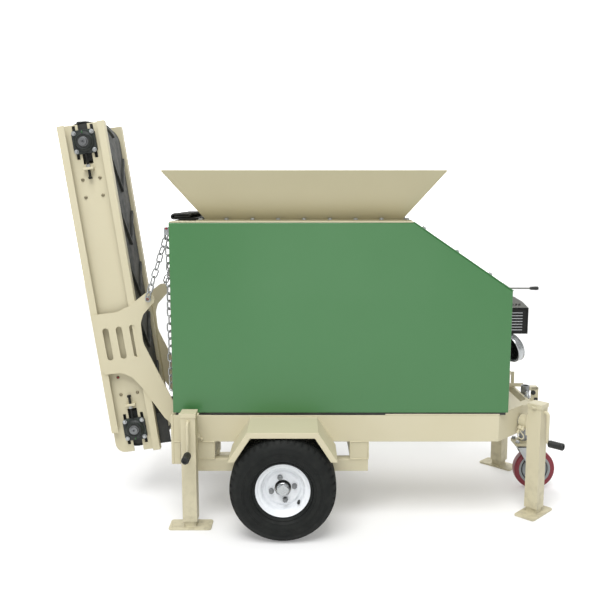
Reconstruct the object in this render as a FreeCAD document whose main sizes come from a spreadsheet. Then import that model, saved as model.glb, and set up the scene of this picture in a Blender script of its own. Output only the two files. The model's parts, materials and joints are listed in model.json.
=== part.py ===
"""Portable jaw crusher on a two-wheel chassis, with a fold-up discharge conveyor.

Every sub-part is an object of one parametric document.  The driving dimensions, in
millimetres and degrees, are cells of the sheet "Dims", and each size and place is an
expression of those cells.  +X points to the nose of the chassis, +Z is up, and the
origin lies on the ground under the middle of the machine.  "right" is the -Y side.
"""
import FreeCAD, Part
import os
import re
import Sketcher

Vector = FreeCAD.Vector
AXES = {"X": Vector(1, 0, 0), "Y": Vector(0, 1, 0), "Z": Vector(0, 0, 1)}
PLANES = {"XY": "XY_Plane", "XZ": "XZ_Plane", "YZ": "YZ_Plane"}

DIMENSIONS = {
    # chassis: channel rails that turn in at the nose
    "rail_rear_x": -663,
    "rail_front_x": 804,
    "nose_reach": 200,
    "nose_plate": 12,
    "chassis_half": 387,
    "rail_bottom": 370,
    "rail_height": 123,
    "rail_flange": 50,
    "rail_wall": 6,
    "end_plate": 10,
    "end_plate_bottom": 265,
    "end_plate_return": 42,
    "rear_beam_depth": 50,
    "deck_rear_x": 292,
    "deck_front_x": 959,
    # lower frame that carries the axle
    "lower_rail_bottom": 232,
    "lower_rail_height": 57,
    "lower_rail_wall": 5,
    "lower_rail_rear_x": -568,
    "lower_rail_front_x": 217,
    "tube_side": 82,
    "tube_wall": 6,
    # wheels
    "axle_x": -164,
    "axle_z": 230,
    "axle_side": 50,
    "axle_plate": 10,
    "axle_plate_side": 120,
    "spindle_radius": 18,
    "spindle_gap": 0.06,
    "wheel_clearance": 38,
    "tyre_radius": 230,
    "tyre_width": 216,
    "seat_gap": 0.3,
    "rim_half": 70,
    "rim_flare": 10,
    "tyre_rounding": 34,
    "rim_seat_radius": 100,
    "rim_flange_radius": 118,
    "rim_wall": 5,
    "disc_inset": 35,
    "hub_radius": 35,
    "hub_cap_radius": 26,
    "hub_cap_length": 34,
    # fenders
    "fender_top_z": 486,
    "fender_half_top": 150,
    "fender_run": 84,
    "fender_drop": 130,
    "fender_width": 230,
    "fender_sheet": 5,
    "fender_lip": 25,
    # sheet panels
    "panel_rear_x": -662,
    "panel_front_x": 845,
    "panel_bottom": 504,
    "panel_top": 1355,
    "panel_slope_x": 402,
    "panel_slope_angle": 34.2,
    "panel_depth": 25,
    "panel_sheet": 4,
    "panel_inset": 0,
    "post_side": 30,
    "cover_sheet": 5,
    # hopper
    "hopper_centre_x": -73.5,
    "hopper_top_length": 1205,
    "hopper_top_width": 900,
    "hopper_base_length": 873,
    "hopper_base_width": 580,
    "hopper_top_z": 1577,
    "hopper_base_z": 1364,
    "hopper_sheet": 6,
    "hopper_flange": 40,
    # crusher
    "crusher_rear_x": -600,
    "crusher_front_x": 240,
    "crusher_half_width": 262,
    "crusher_bottom": 520,
    "crusher_top": 1330,
    "cheek_wall": 25,
    "outlet_half_width": 163,
    "outlet_top": 680,
    "jaw_thickness": 40,
    "jaw_top_gap": 300,
    "jaw_bottom_gap": 60,
    # engine
    "engine_x": 690,
    "engine_half_width": 130,
    "engine_base_z": 560,
    "guard_front_x": 982,
    "guard_rear_x": 790,
    "guard_near_y": -170,
    "guard_far_y": 90,
    "guard_bottom": 825,
    "guard_top": 948,
    "guard_wall": 4,
    "shroud_x": 882,
    "shroud_z": 752,
    "shroud_radius": 68,
    "shroud_near_y": -175,
    # conveyor, in its own frame: z runs from the tail shaft to the head shaft
    "tail_x": -889,
    "tail_z": 356,
    "conveyor_lean": -7.9,
    "shaft_centres": 1372,
    "head_overrun": 81,
    "tail_overrun": 112,
    "flange_cutback": 110,
    "channel_width": 218,
    "channel_half": 177,
    "channel_lip": 5,
    "channel_return": 34,
    "channel_web": 5,
    "channel_depth": 35,
    "pulley_radius": 88,
    "pulley_half": 128,
    "shaft_radius": 17,
    "belt_thickness": 6,
    "belt_gap": 0.5,
    "belt_half": 132,
    "cleat_height": 12,
    "cleat_width": 20,
    "cleat_reach": 117,
    "cleat_rise": 150,
    "cleat_pitch": 256,
    "cleat_start": 100,
    "bearing_side": 108,
    "bearing_depth": 32,
    "notch_width": 44,
    "notch_reach": 100,
    "bolt_pitch": 83,
    "bolt_slot": 14,
    "bolt_slot_end": 76,
    "web_corner": 45,
    "takeup_reach": 122,
    "takeup_half": 25,
    # conveyor hinge and arms
    "pivot_x": -688,
    "pivot_z": 415,
    "pivot_radius": 14,
    "arm_sheet": 6,
    "arm_boss": 30,
    "lug_gap": 5,
    "lug_sheet": 12,
    "ear_x": -802,
    "ear_z": 992,
    "ear_radius": 30,
    "slot_width": 29,
    "slot_length": 156,
    "slot_pitch": 63,
    "chain_anchor_x": -698,
    "chain_anchor_z": 1310,
    "chain_standoff": 22,
    "ear_bolt": 8,
    "chain_tail_z": 561,
    "chain_radius": 5,
    "chain_knot": 7,
    "chain_pin": 6,
    # jacks
    "jack_tube": 64,
    "jack_wall": 5,
    "jack_leg_gap": 0.5,
    "jack_pipe_radius": 31,
    "jack_stub_radius": 25,
    "jack_collar_gap": 6,
    "front_jack_reach": 86,
    "jack_pivot_z": 430,
    "jack_top": 100,
    "jack_tube_end": 32,
    "foot_length": 190,
    "foot_width": 100,
    "foot_sheet": 8,
    "rear_jack_x": -581,
    "rear_jack_reach": 63,
    "front_jack_along": 192.3,
    "crank_drop": 62,
    "crank_arm": 142,
    "crank_radius": 8,
    "grip_radius": 17,
    "grip_length": 70,
    # caster
    "stem_x": 1034,
    "stem_radius": 21,
    "stem_wall": 5,
    "stem_top": 531,
    "stem_plate_z": 245,
    "stem_plate_side": 100,
    "stem_plate": 14,
    "sleeve_wall": 7,
    "caster_trail": 58,
    "caster_radius": 102,
    "caster_width": 50,
    "caster_core": 76,
    "fork_gap": 6,
    "fork_sheet": 5,
    # lever
    "lever_x": 830,
    "lever_y": -110,
    "lever_z": 1034,
    "lever_end_x": 1029,
    "lever_hub": 14,
    # running clearance between a hinge pin and its bore
    "pin_gap": 0.3,
}

doc = FreeCAD.newDocument("JawCrusher")
sheet = doc.addObject("Spreadsheet::Sheet", "Dims")
for row, (alias, value) in enumerate(DIMENSIONS.items(), start=1):
    sheet.set(f"A{row}", alias)
    sheet.set(f"B{row}", str(value))
    sheet.setAlias(f"B{row}", alias)
doc.recompute()

ALIAS = re.compile(r"\b(" + "|".join(sorted(DIMENSIONS, key=len, reverse=True)) + r")\b")
nodes = {}


def sheet_text(expression):
    """An expression with each alias read from the sheet."""
    return ALIAS.sub(r"Dims.\1", str(expression))


def bind(thing, **properties):
    """Bind properties of an object to expressions; "Base_x" means Placement.Base.x."""
    for name, expression in properties.items():
        path = {"Base_x": "Placement.Base.x", "Base_y": "Placement.Base.y",
                "Base_z": "Placement.Base.z", "Angle": "Placement.Rotation.Angle"}
        thing.setExpression(path.get(name, name), sheet_text(expression))
    return thing


def place(thing, x=0, y=0, z=0, axis="Z", angle=None):
    """Move an object by expressions and, with an angle, turn it about an axis."""
    if angle is not None:
        thing.Placement = FreeCAD.Placement(Vector(), FreeCAD.Rotation(AXES[axis], 1))
        bind(thing, Angle=angle)
    return bind(thing, Base_x=x, Base_y=y, Base_z=z)


def box(x, y, z):
    """A box from (low, high) expressions along each axis."""
    thing = doc.addObject("Part::Box", "Box")
    bind(thing, Length=f"({x[1]})-({x[0]})", Width=f"({y[1]})-({y[0]})", Height=f"({z[1]})-({z[0]})")
    return place(thing, x[0], y[0], z[0])


def cylinder(radius, length, at, axis="Z"):
    """A cylinder from a point along an axis."""
    thing = doc.addObject("Part::Cylinder", "Cylinder")
    turn = {"X": ("Y", 90), "Y": ("X", -90), "Z": ("Z", 0)}[axis]
    bind(thing, Radius=radius, Height=length)
    thing.Placement = FreeCAD.Placement(Vector(), FreeCAD.Rotation(AXES[turn[0]], turn[1]))
    return place(thing, *at)


def cone(radius_1, radius_2, length, at, axis="Z"):
    """A cone frustum from a point along an axis."""
    thing = doc.addObject("Part::Cone", "Cone")
    turn = {"X": ("Y", 90), "Y": ("X", -90), "Z": ("Z", 0)}[axis]
    bind(thing, Radius1=radius_1, Radius2=radius_2, Height=length)
    thing.Placement = FreeCAD.Placement(Vector(), FreeCAD.Rotation(AXES[turn[0]], turn[1]))
    return place(thing, *at)


def fuse(*shapes):
    """The union of objects."""
    thing = doc.addObject("Part::MultiFuse", "Fuse")
    thing.Shapes = list(shapes)
    thing.Refine = True
    return thing


def together(*shapes):
    """Separate solids kept in one object."""
    thing = doc.addObject("Part::Compound", "Group")
    thing.Links = list(shapes)
    return thing


def cut(base, *tools):
    """A base less its tools."""
    thing = doc.addObject("Part::Cut", "Cut")
    thing.Base = base
    thing.Tool = tools[0] if len(tools) == 1 else together(*tools)
    thing.Refine = True
    return thing


def mirrored(source):
    """The same shape on the other side of the XZ plane."""
    thing = doc.addObject("Part::Mirroring", "Mirror")
    thing.Source = source
    thing.Normal = AXES["Y"]
    return thing


def both(source):
    """A shape and its mirror image as two solids of one object."""
    return together(source, mirrored(source))


def outline_sketch(body, plane, points, circles=()):
    """A fully constrained polygon, with round holes, on one of a body's own planes."""
    sketch = body.newObject("Sketcher::SketchObject", "Outline")
    origin = [o for o in body.Origin.OriginFeatures if o.Role == PLANES[plane]][0]
    sketch.AttachmentSupport = [(origin, "")]
    sketch.MapMode = "FlatFace"
    corners = [Vector(*read_point(point)) for point in points]
    count = len(corners)
    for index, corner in enumerate(corners):
        sketch.addGeometry(Part.LineSegment(corner, corners[(index + 1) % count]), False)
    for index in range(count):
        sketch.addConstraint(Sketcher.Constraint("Coincident", index, 2, (index + 1) % count, 1))
    for index, point in enumerate(points):
        pin_point(sketch, index, 1, corners[index], point)
    for centre, radius in circles:
        at, size = Vector(*read_point(centre)), read(radius)
        index = sketch.addGeometry(Part.Circle(at, AXES["Z"], size), False)
        pin_point(sketch, index, 3, at, centre)
        rule = sketch.addConstraint(Sketcher.Constraint("Radius", index, size))
        sketch.setExpression(f"Constraints[{rule}]", sheet_text(radius))
    return sketch


def pin_point(sketch, index, place_on, at, point):
    """Hold a point of a sketch at two expressions from the sketch's origin."""
    for kind, value, expression in (("DistanceX", at.x, point[0]), ("DistanceY", at.y, point[1])):
        rule = sketch.addConstraint(Sketcher.Constraint(kind, -1, 1, index, place_on, value))
        sketch.setExpression(f"Constraints[{rule}]", sheet_text(expression))


probe = doc.addObject("Spreadsheet::Sheet", "Probe")


def read(expression):
    """The number that an expression has now, worked out by a cell of the probe sheet."""
    probe.set("A1", f"={re.sub(ALIAS, lambda m: 'Dims.' + m.group(1), str(expression))}")
    probe.recompute()
    found = probe.get("A1")
    return float(getattr(found, "Value", found))


def read_point(point):
    """The numbers of a point's two expressions, in the plane of a sketch."""
    return read(point[0]), read(point[1]), 0


def plate(plane, points, thickness, start, circles=()):
    """A flat plate: an outline padded from start along the axis across its plane."""
    body = doc.addObject("PartDesign::Body", "Plate")
    sketch = outline_sketch(body, plane, points, circles)
    pad = body.newObject("PartDesign::Pad", "Pad")
    pad.Profile = sketch
    bind(pad, Length=thickness)
    if plane == "XZ":
        return bind(body, Base_y=f"({start})+({thickness})")
    if plane == "YZ":
        return bind(body, Base_x=start)
    return bind(body, Base_z=start)


def ring(plane, points, at=(0, 0, 0)):
    """A turned piece: a half section in the XZ plane, turned about its vertical axis."""
    body = doc.addObject("PartDesign::Body", "Turned")
    sketch = outline_sketch(body, plane, points)
    turned = body.newObject("PartDesign::Revolution", "Revolution")
    turned.Profile = sketch
    turned.ReferenceAxis = (sketch, ["V_Axis"])
    turned.Angle = 360
    return place(body, *at)


def rounded(source, radius, chosen):
    """Round the edges of an object that chosen(edge) picks."""
    doc.recompute()
    thing = doc.addObject("Part::Fillet", "Rounded")
    thing.Base = source
    size = read(radius)
    edges = source.Shape.Edges
    thing.Edges = [(i, size, size) for i, edge in enumerate(edges, start=1) if chosen(edge)]
    return thing


def rounded_corners(source, corners):
    """Round a plate's corners, each given as (x, z, radius), where its edges run along Y."""
    doc.recompute()
    picked = []
    for x, z, radius in corners:
        at_x, at_z, size = read(x), read(z), read(radius)
        for index, edge in enumerate(source.Shape.Edges, start=1):
            middle = edge.BoundBox.Center
            if along(edge, "Y") and abs(middle.x - at_x) < 0.01 and abs(middle.z - at_z) < 0.01:
                picked.append((index, size, size))
    if len(picked) != len(corners):
        raise RuntimeError("a corner to round wasn't found")
    thing = doc.addObject("Part::Fillet", "Rounded")
    thing.Base = source
    thing.Edges = picked
    return thing


def along(edge, axis, tolerance=1e-6):
    """Is this edge a straight line along an axis?"""
    if not isinstance(edge.Curve, Part.Line):
        return False
    return abs(abs(edge.Curve.Direction.dot(AXES[axis])) - 1) < tolerance


def keep(name, thing):
    """Make an object a sub-part of the machine."""
    thing.Label = name
    nodes[name] = thing
    return thing


# ---------------------------------------------------------------- chassis

RAIL_TOP = "rail_bottom+rail_height"
NOSE_X = "rail_front_x+nose_reach"


def rail_plan(inner, outer):
    """Plan outline of a rail between two distances inboard of its outer face."""
    def line(inset):
        turn = f"({inset})*tan(22.5)"
        return [
            ("rail_rear_x", f"-chassis_half+({inset})"),
            (f"rail_front_x-{turn}", f"-chassis_half+({inset})"),
            (NOSE_X, f"-chassis_half+nose_reach+({inset})+{turn}"),
        ]
    return line(inner) + line(outer)[::-1]


def side_rails():
    """Channels with their web outwards, mitred where the nose turns in."""
    solid = plate("XY", rail_plan("0", "rail_flange"), "rail_height", "rail_bottom")
    hollow = plate("XY", rail_plan("rail_wall", "rail_flange+1"),
                   "rail_height-2*rail_wall", "rail_bottom+rail_wall")
    return both(cut(solid, hollow))


def rear_crossmember():
    """Channel across the rear, with an angle plate welded to the end of each rail."""
    inner = "chassis_half-rail_flange"
    beam = box(("rail_rear_x+30", "rail_rear_x+30+rear_beam_depth"),
               (f"-({inner})", inner), ("rail_bottom", RAIL_TOP))
    hollow = box(("rail_rear_x+30+rail_wall", "rail_rear_x+31+rear_beam_depth"),
                 (f"-({inner})-1", f"{inner}+1"), ("rail_bottom+rail_wall", f"{RAIL_TOP}-rail_wall"))
    plates = [box(("rail_rear_x-end_plate", "rail_rear_x"), sides, ("end_plate_bottom", RAIL_TOP))
              for sides in (("-chassis_half", "-chassis_half+rail_flange"),
                            ("chassis_half-rail_flange", "chassis_half"))]
    sides = [box(("rail_rear_x-end_plate", "rail_rear_x-end_plate+end_plate_return"), side,
                 ("end_plate_bottom", "rail_bottom"))
             for side in (("-chassis_half", "-chassis_half+end_plate"),
                          ("chassis_half-end_plate", "chassis_half"))]
    return together(cut(beam, hollow), *[fuse(*pair) for pair in zip(plates, sides)])


def hinge_lugs():
    """Two lugs behind the rear crossmember with the pins that the arms turn on."""
    inner = "channel_half+arm_sheet+lug_gap"
    face = "rail_rear_x+30"
    points = [(face, "pivot_z-45"), (face, "pivot_z+45"), ("pivot_x", "pivot_z+28"),
              ("pivot_x", "pivot_z-28")]
    lug = plate("XZ", points, "lug_sheet", f"-({inner})-lug_sheet")
    eye = cylinder("28", "lug_sheet", ("pivot_x", f"-({inner})-lug_sheet", "pivot_z"), "Y")
    pin = cylinder("pivot_radius", "arm_sheet+lug_gap+lug_sheet+16",
                   ("pivot_x", f"-({inner})-lug_sheet-8", "pivot_z"), "Y")
    return both(fuse(lug, eye, pin))


def front_crossmember():
    """Plate across the nose with the round sleeve that holds the caster's stem."""
    half = "chassis_half-nose_reach"
    beam = box((NOSE_X, f"{NOSE_X}+nose_plate"), (f"-({half})", half), ("rail_bottom", RAIL_TOP))
    sleeve = cylinder("stem_radius+sleeve_wall+pin_gap", "rail_height-27", ("stem_x", "0", "rail_bottom"))
    bore = cylinder("stem_radius+pin_gap", "rail_height+2", ("stem_x", "0", "rail_bottom-1"))
    return cut(fuse(beam, sleeve), bore)


def nose_deck():
    """Flat plate on top of the rails where they turn in, between the panel and the nose."""
    half, reach = "chassis_half", "deck_front_x-rail_front_x"
    points = [("deck_rear_x", f"-{half}"), ("rail_front_x", f"-{half}"),
              ("deck_front_x", f"-{half}+{reach}"), ("deck_front_x", f"{half}-({reach})"),
              ("rail_front_x", half), ("deck_rear_x", half)]
    return plate("XY", points, "rail_wall", RAIL_TOP)


def lower_rails():
    """Short rails under the cross tubes, centred on the axle."""
    top = "lower_rail_bottom+lower_rail_height"
    solid = box(("lower_rail_rear_x", "lower_rail_front_x"),
                ("-chassis_half", "-chassis_half+rail_flange"), ("lower_rail_bottom", top))
    hollow = box(("lower_rail_rear_x-1", "lower_rail_front_x+1"),
                 ("-chassis_half+lower_rail_wall", "-chassis_half+rail_flange-lower_rail_wall"),
                 ("lower_rail_bottom+lower_rail_wall", f"{top}-lower_rail_wall"))
    return both(cut(solid, hollow))


def cross_tubes():
    """Two square tubes across the chassis, between the side rails and the lower rails."""
    low = "lower_rail_bottom+lower_rail_height"
    tubes = []
    for start in ("lower_rail_rear_x+8", "lower_rail_front_x-tube_side"):
        outer = box((start, f"{start}+tube_side"), ("-chassis_half", "chassis_half"),
                    (low, "rail_bottom"))
        hollow = box((f"{start}+tube_wall", f"{start}+tube_side-tube_wall"),
                     ("-chassis_half+tube_wall", "chassis_half-tube_wall"),
                     (f"{low}+tube_wall", "rail_bottom-tube_wall"))
        tubes.append(cut(outer, hollow))
    return together(*tubes)


HALF_TRACK = "(chassis_half+wheel_clearance+tyre_width/2)"
FENDER_REACH = "(chassis_half+fender_width)"


def axle():
    """Beam under the lower rails with a plate at each end that carries the spindle."""
    face = "chassis_half"
    beam = box(("axle_x-axle_side/2", "axle_x+axle_side/2"), (f"-{face}", face),
               ("lower_rail_bottom-axle_side", "lower_rail_bottom"))
    pieces = [beam]
    for y in (f"-{face}-axle_plate", face):
        pieces.append(box(("axle_x-axle_plate_side/2", "axle_x+axle_plate_side/2"),
                          (y, f"{y}+axle_plate"),
                          ("lower_rail_bottom-axle_side", "lower_rail_bottom+lower_rail_height")))
    end = f"{HALF_TRACK}+disc_inset+hub_cap_length-6"
    pieces.append(cylinder("spindle_radius", f"{end}-{face}", ("axle_x", f"-({end})", "axle_z"), "Y"))
    pieces.append(cylinder("spindle_radius", f"{end}-{face}", ("axle_x", face, "axle_z"), "Y"))
    return fuse(*pieces)


def fenders():
    """Folded sheet over each wheel, from the rail out past the tyre, with a turned-down lip."""
    def fold(inset):
        top, run = "fender_half_top", "fender_run"
        slope = f"({inset})*0.56"
        return [
            (f"axle_x-{top}-{run}", f"fender_top_z-fender_drop-({inset})*0"),
            (f"axle_x-{top}+{slope}", f"fender_top_z-({inset})"),
            (f"axle_x+{top}-({slope})", f"fender_top_z-({inset})"),
            (f"axle_x+{top}+{run}", f"fender_top_z-fender_drop-({inset})*0"),
        ]
    low = "fender_top_z-fender_drop"
    outer = fold("0")
    inner = [(f"axle_x-fender_half_top-fender_run+fender_sheet*1.2", low)] + fold("fender_sheet")[1:3]
    inner.append((f"axle_x+fender_half_top+fender_run-fender_sheet*1.2", low))
    skin = plate("XZ", outer + inner[::-1], "fender_width", f"-{FENDER_REACH}")
    lip_inner = [(f"axle_x-fender_half_top-fender_run+fender_lip*1.2", low)]
    lip_inner += fold("fender_lip")[1:3]
    lip_inner.append((f"axle_x+fender_half_top+fender_run-fender_lip*1.2", low))
    lip = plate("XZ", outer + lip_inner[::-1], "fender_sheet", f"-{FENDER_REACH}")
    return both(fuse(skin, lip))


keep("side_rails", side_rails())
keep("rear_crossmember", rear_crossmember())
keep("hinge_lugs", hinge_lugs())
keep("front_crossmember", front_crossmember())
keep("nose_deck", nose_deck())
keep("lower_rails", lower_rails())
keep("cross_tubes", cross_tubes())
keep("axle", axle())
keep("fenders", fenders())

# ---------------------------------------------------------------- panels and hopper

SLOPE_LOW_Z = "panel_top-(panel_front_x-panel_slope_x)*tan(panel_slope_angle)"


def panel_outline(inset):
    """Side outline of a panel, moved in by an inset."""
    return [
        (f"panel_rear_x+({inset})", f"panel_bottom+({inset})"),
        (f"panel_rear_x+({inset})", f"panel_top-({inset})"),
        (f"panel_slope_x-({inset})*tan(panel_slope_angle/2)", f"panel_top-({inset})"),
        (f"panel_front_x-({inset})", f"{SLOPE_LOW_Z}-({inset})*tan(45-panel_slope_angle/2)"),
        (f"panel_front_x-({inset})", f"panel_bottom+({inset})"),
    ]


def side_panel():
    """Sheet pan with its edges turned inwards; the edges are rolled, not sharp."""
    face = "chassis_half-panel_inset"
    pan = plate("XZ", panel_outline("0"), "panel_depth", f"-({face})")
    hollow = plate("XZ", panel_outline("panel_sheet"), "panel_depth", f"-({face})+panel_sheet")
    shell = cut(pan, hollow)
    outer = -read(face)
    centre_x = read("(panel_rear_x+panel_front_x)/2")
    low = read("panel_bottom")

    def rolled(edge):
        box_ = edge.BoundBox
        on_face = abs(box_.YMin - outer) < 0.01 and abs(box_.YMax - outer) < 0.01
        return on_face and box_.ZMax > low + 1 or on_face and abs(box_.Center.x - centre_x) < 1
    return rounded(shell, "panel_sheet*1.5", rolled)


def panel_frames():
    """Angle posts and rails inside each panel, standing on the chassis."""
    inner = "-chassis_half+panel_inset+panel_depth"
    def bars(inset):
        return [
            (f"panel_rear_x+panel_sheet+2+({inset})", RAIL_TOP),
            (f"panel_rear_x+panel_sheet+2+({inset})", f"panel_top-panel_sheet-({inset})"),
            (f"panel_slope_x-({inset})*tan(panel_slope_angle/2)", f"panel_top-panel_sheet-({inset})"),
            (f"panel_front_x-panel_sheet-2-({inset})",
             f"{SLOPE_LOW_Z}-panel_sheet-({inset})*tan(45-panel_slope_angle/2)"),
            (f"panel_front_x-panel_sheet-2-({inset})", f"{RAIL_TOP}+rail_wall"),
        ]
    points = bars("6") + bars("post_side+6")[::-1]
    return both(plate("XZ", points, "8", inner))


def top_cover():
    """Plate that closes the top round the hopper's base."""
    half = "chassis_half-panel_inset-1"
    flat = box(("panel_rear_x+2", "panel_slope_x"), (f"-({half})", half),
               ("panel_top", "panel_top+cover_sheet"))
    mouth = box(("hopper_centre_x-hopper_base_length/2+hopper_sheet",
                 "hopper_centre_x+hopper_base_length/2-hopper_sheet"),
                ("-hopper_base_width/2+hopper_sheet", "hopper_base_width/2-hopper_sheet"),
                ("panel_top-1", "panel_top+cover_sheet+1"))
    return cut(flat, mouth)


def sloped_cover():
    """Plate between the panels down their slope, over the drive."""
    half = "chassis_half-panel_inset-1"
    reach = "(panel_front_x-panel_slope_x)/cos(panel_slope_angle)"
    sheet_ = box(("0", reach), (f"-({half})", half), ("0", "cover_sheet"))
    return place(sheet_, "panel_slope_x", f"-({half})", "panel_top", "Y", "panel_slope_angle")


def frustum(length_1, width_1, z_1, length_2, width_2, z_2):
    """A solid between two centred rectangles, as a loft of two sketches."""
    body = doc.addObject("PartDesign::Body", "Frustum")
    sections = []
    for length, width, z in ((length_1, width_1, z_1), (length_2, width_2, z_2)):
        centre = "hopper_centre_x"
        corners = [(f"{centre}-({length})/2", f"-({width})/2"), (f"{centre}+({length})/2", f"-({width})/2"),
                   (f"{centre}+({length})/2", f"({width})/2"), (f"{centre}-({length})/2", f"({width})/2")]
        sketch = outline_sketch(body, "XY", corners)
        sketch.setExpression("AttachmentOffset.Base.z", sheet_text(z))
        sections.append(sketch)
    doc.recompute()
    loft = body.newObject("PartDesign::AdditiveLoft", "Loft")
    loft.Profile = sections[0]
    loft.Sections = [sections[1]]
    loft.Ruled = True
    return body


def hopper():
    """Flared sheet hopper with a flat flange round its base."""
    top, low, wall = "hopper_top_z", "hopper_base_z", "hopper_sheet"
    outer = frustum("hopper_base_length", "hopper_base_width", low,
                    "hopper_top_length", "hopper_top_width", top)
    inner = frustum(f"hopper_base_length-2*{wall}", f"hopper_base_width-2*{wall}", low,
                    f"hopper_top_length-2*{wall}", f"hopper_top_width-2*{wall}", top)
    reach = "hopper_base_length/2+hopper_flange"
    side = "hopper_base_width/2+hopper_flange"
    flange = box((f"hopper_centre_x-({reach})", f"hopper_centre_x+({reach})"),
                 (f"-({side})", side), ("panel_top+cover_sheet", low))
    mouth = box(("hopper_centre_x-hopper_base_length/2+hopper_sheet",
                 "hopper_centre_x+hopper_base_length/2-hopper_sheet"),
                ("-hopper_base_width/2+hopper_sheet", "hopper_base_width/2-hopper_sheet"),
                ("panel_top+cover_sheet-1", f"{low}+1"))
    return fuse(cut(outer, inner), cut(flange, mouth))


def rubber_cover():
    """Rubber sheet over the rear of the top, curled up at its free edge."""
    rear = "panel_rear_x+6"
    front = "hopper_centre_x-hopper_base_length/2-hopper_flange-4"
    low = "panel_top+cover_sheet"
    pad = box((rear, front), ("-250", "250"), (low, f"{low}+12"))
    roll = cylinder("15", "500", (f"{rear}+15", "-250", f"{low}+15"), "Y")
    return fuse(pad, roll)


keep("side_panel_right", side_panel())
keep("side_panel_left", mirrored(nodes["side_panel_right"]))
keep("panel_frames", panel_frames())
keep("top_cover", top_cover())
keep("sloped_cover", sloped_cover())
keep("hopper", hopper())
keep("rubber_cover", rubber_cover())

# ---------------------------------------------------------------- crusher and drive


def crusher_housing():
    """Fabricated box open at the top and bottom, with a feed shelf and a rear outlet."""
    half, wall = "crusher_half_width", "cheek_wall"
    solid = box(("crusher_rear_x", "crusher_front_x"), (f"-{half}", half),
                ("crusher_bottom", "crusher_top"))
    chamber = box((f"crusher_rear_x+{wall}", f"crusher_front_x-{wall}"),
                  (f"-{half}+{wall}", f"{half}-{wall}"), ("crusher_bottom-1", "crusher_top+1"))
    outlet = box(("crusher_rear_x-1", f"crusher_rear_x+{wall}+1"),
                 ("-outlet_half_width", "outlet_half_width"), ("crusher_bottom-1", "outlet_top"))
    shelf_x = f"crusher_rear_x+{wall}+1.5*jaw_thickness+jaw_top_gap+20"
    shelf = box((shelf_x, f"crusher_front_x-{wall}"), (f"-{half}+{wall}", f"{half}-{wall}"),
                ("crusher_top-40", "crusher_top-28"))
    feet = []
    for x in ("crusher_rear_x+60", "crusher_front_x-140"):
        for low, high in (("-chassis_half+panel_depth+3", "-crusher_half_width+cheek_wall"),
                          ("crusher_half_width-cheek_wall", "chassis_half-panel_depth-3")):
            feet.append(box((x, f"{x}+80"), (low, high), (RAIL_TOP, "crusher_bottom")))
    return fuse(cut(solid, chamber, outlet), shelf, *feet)


def jaw_plates():
    """The upright fixed jaw at the rear and the leaning swing jaw before it."""
    thick, wide = "jaw_thickness", "crusher_half_width-cheek_wall-seat_gap"
    back = "crusher_rear_x+cheek_wall+0.3"
    low, high = "outlet_top+4", "crusher_top-50"
    fixed = box((back, f"{back}+{thick}"), (f"-({wide})", wide), (low, high))
    face = f"{back}+{thick}"
    points = [(f"{face}+jaw_bottom_gap", low), (f"{face}+jaw_bottom_gap+{thick}", low),
              (f"{face}+jaw_top_gap+{thick}", high), (f"{face}+jaw_top_gap", high)]
    swing = plate("XZ", points, f"2*({wide})", f"-({wide})")
    return together(fixed, swing)


def discharge_chute():
    """Open trough that carries the crushed stone out over the conveyor's tail."""
    half = "outlet_half_width-6-seat_gap"
    rear, front = "pivot_x-12", "crusher_rear_x+200"
    points = [(rear, "pivot_z+88"), (front, "pivot_z+150"), (front, "pivot_z+156"), (rear, "pivot_z+94")]
    floor = plate("XZ", points, f"2*({half})", f"-({half})")
    side_points = [(rear, "pivot_z+88"), (front, "pivot_z+150"), (front, "pivot_z+230"), (rear, "pivot_z+170")]
    sides = [plate("XZ", side_points, "6", start) for start in (f"-({half})-6", half)]
    return fuse(floor, *sides)


def discharge_flap():
    """Rubber flap that hangs from the chute's lip."""
    half = "channel_half-channel_depth-10"
    return box(("pivot_x-26", "pivot_x-12"), (f"-({half})", half), ("pivot_z-60", "pivot_z+94"))


def engine_block():
    """Crankcase, cylinder and base of the small petrol engine, on its bed plate."""
    low = "engine_base_z"
    half = "engine_half_width"
    side = "chassis_half-panel_depth-12"
    base = box(("engine_x-190", "engine_x+190"), (f"-({side})", side), (f"{RAIL_TOP}+rail_wall", low))
    tunnel = box(("engine_x-184", "engine_x+184"), (f"-({side})-1", f"{side}+1"),
                 (f"{RAIL_TOP}+rail_wall+8", f"{low}-8"))
    case = box(("engine_x-150", "engine_x+160"), (f"-{half}", half), (low, f"{low}+250"))
    head = box(("engine_x+0", "engine_x+130"), (f"-{half}+20", f"{half}-20"), (f"{low}+250", "guard_bottom"))
    return fuse(cut(base, tunnel), case, head)


def engine_guard():
    """Black louvred box round the exhaust, open at its louvres."""
    wall = "guard_wall"
    solid = box(("guard_rear_x", "guard_front_x"), ("guard_near_y", "guard_far_y"),
                ("guard_bottom", "guard_top"))
    hollow = box((f"guard_rear_x+{wall}", f"guard_front_x-{wall}"),
                 (f"guard_near_y+{wall}", f"guard_far_y-{wall}"),
                 (f"guard_bottom+{wall}", f"guard_top-{wall}"))
    slots = []
    for index in range(7):
        z = f"guard_bottom+16+{index}*13.5"
        slots.append(box(("guard_front_x-104", "guard_front_x-24"), ("guard_near_y-1", f"guard_near_y+{wall}+1"),
                         (z, f"{z}+6")))
    return cut(solid, hollow, *slots)


def engine_cover():
    """Sloping cover on the guard, with a row of air slots."""
    points = [("guard_rear_x", "guard_top"), ("guard_front_x", "guard_top"),
              ("guard_front_x-30", "guard_top+30"), ("guard_front_x-68", "guard_top+52"),
              ("guard_rear_x", "guard_top+52")]
    solid = plate("XZ", points, "guard_far_y-guard_near_y", "guard_near_y")
    slots = [box((f"guard_front_x-50-{index}*16", f"guard_front_x-40-{index}*16"),
                 ("guard_near_y-1", "guard_near_y+8"), ("guard_top+10", "guard_top+20"))
             for index in range(5)]
    return cut(solid, *slots)


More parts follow.
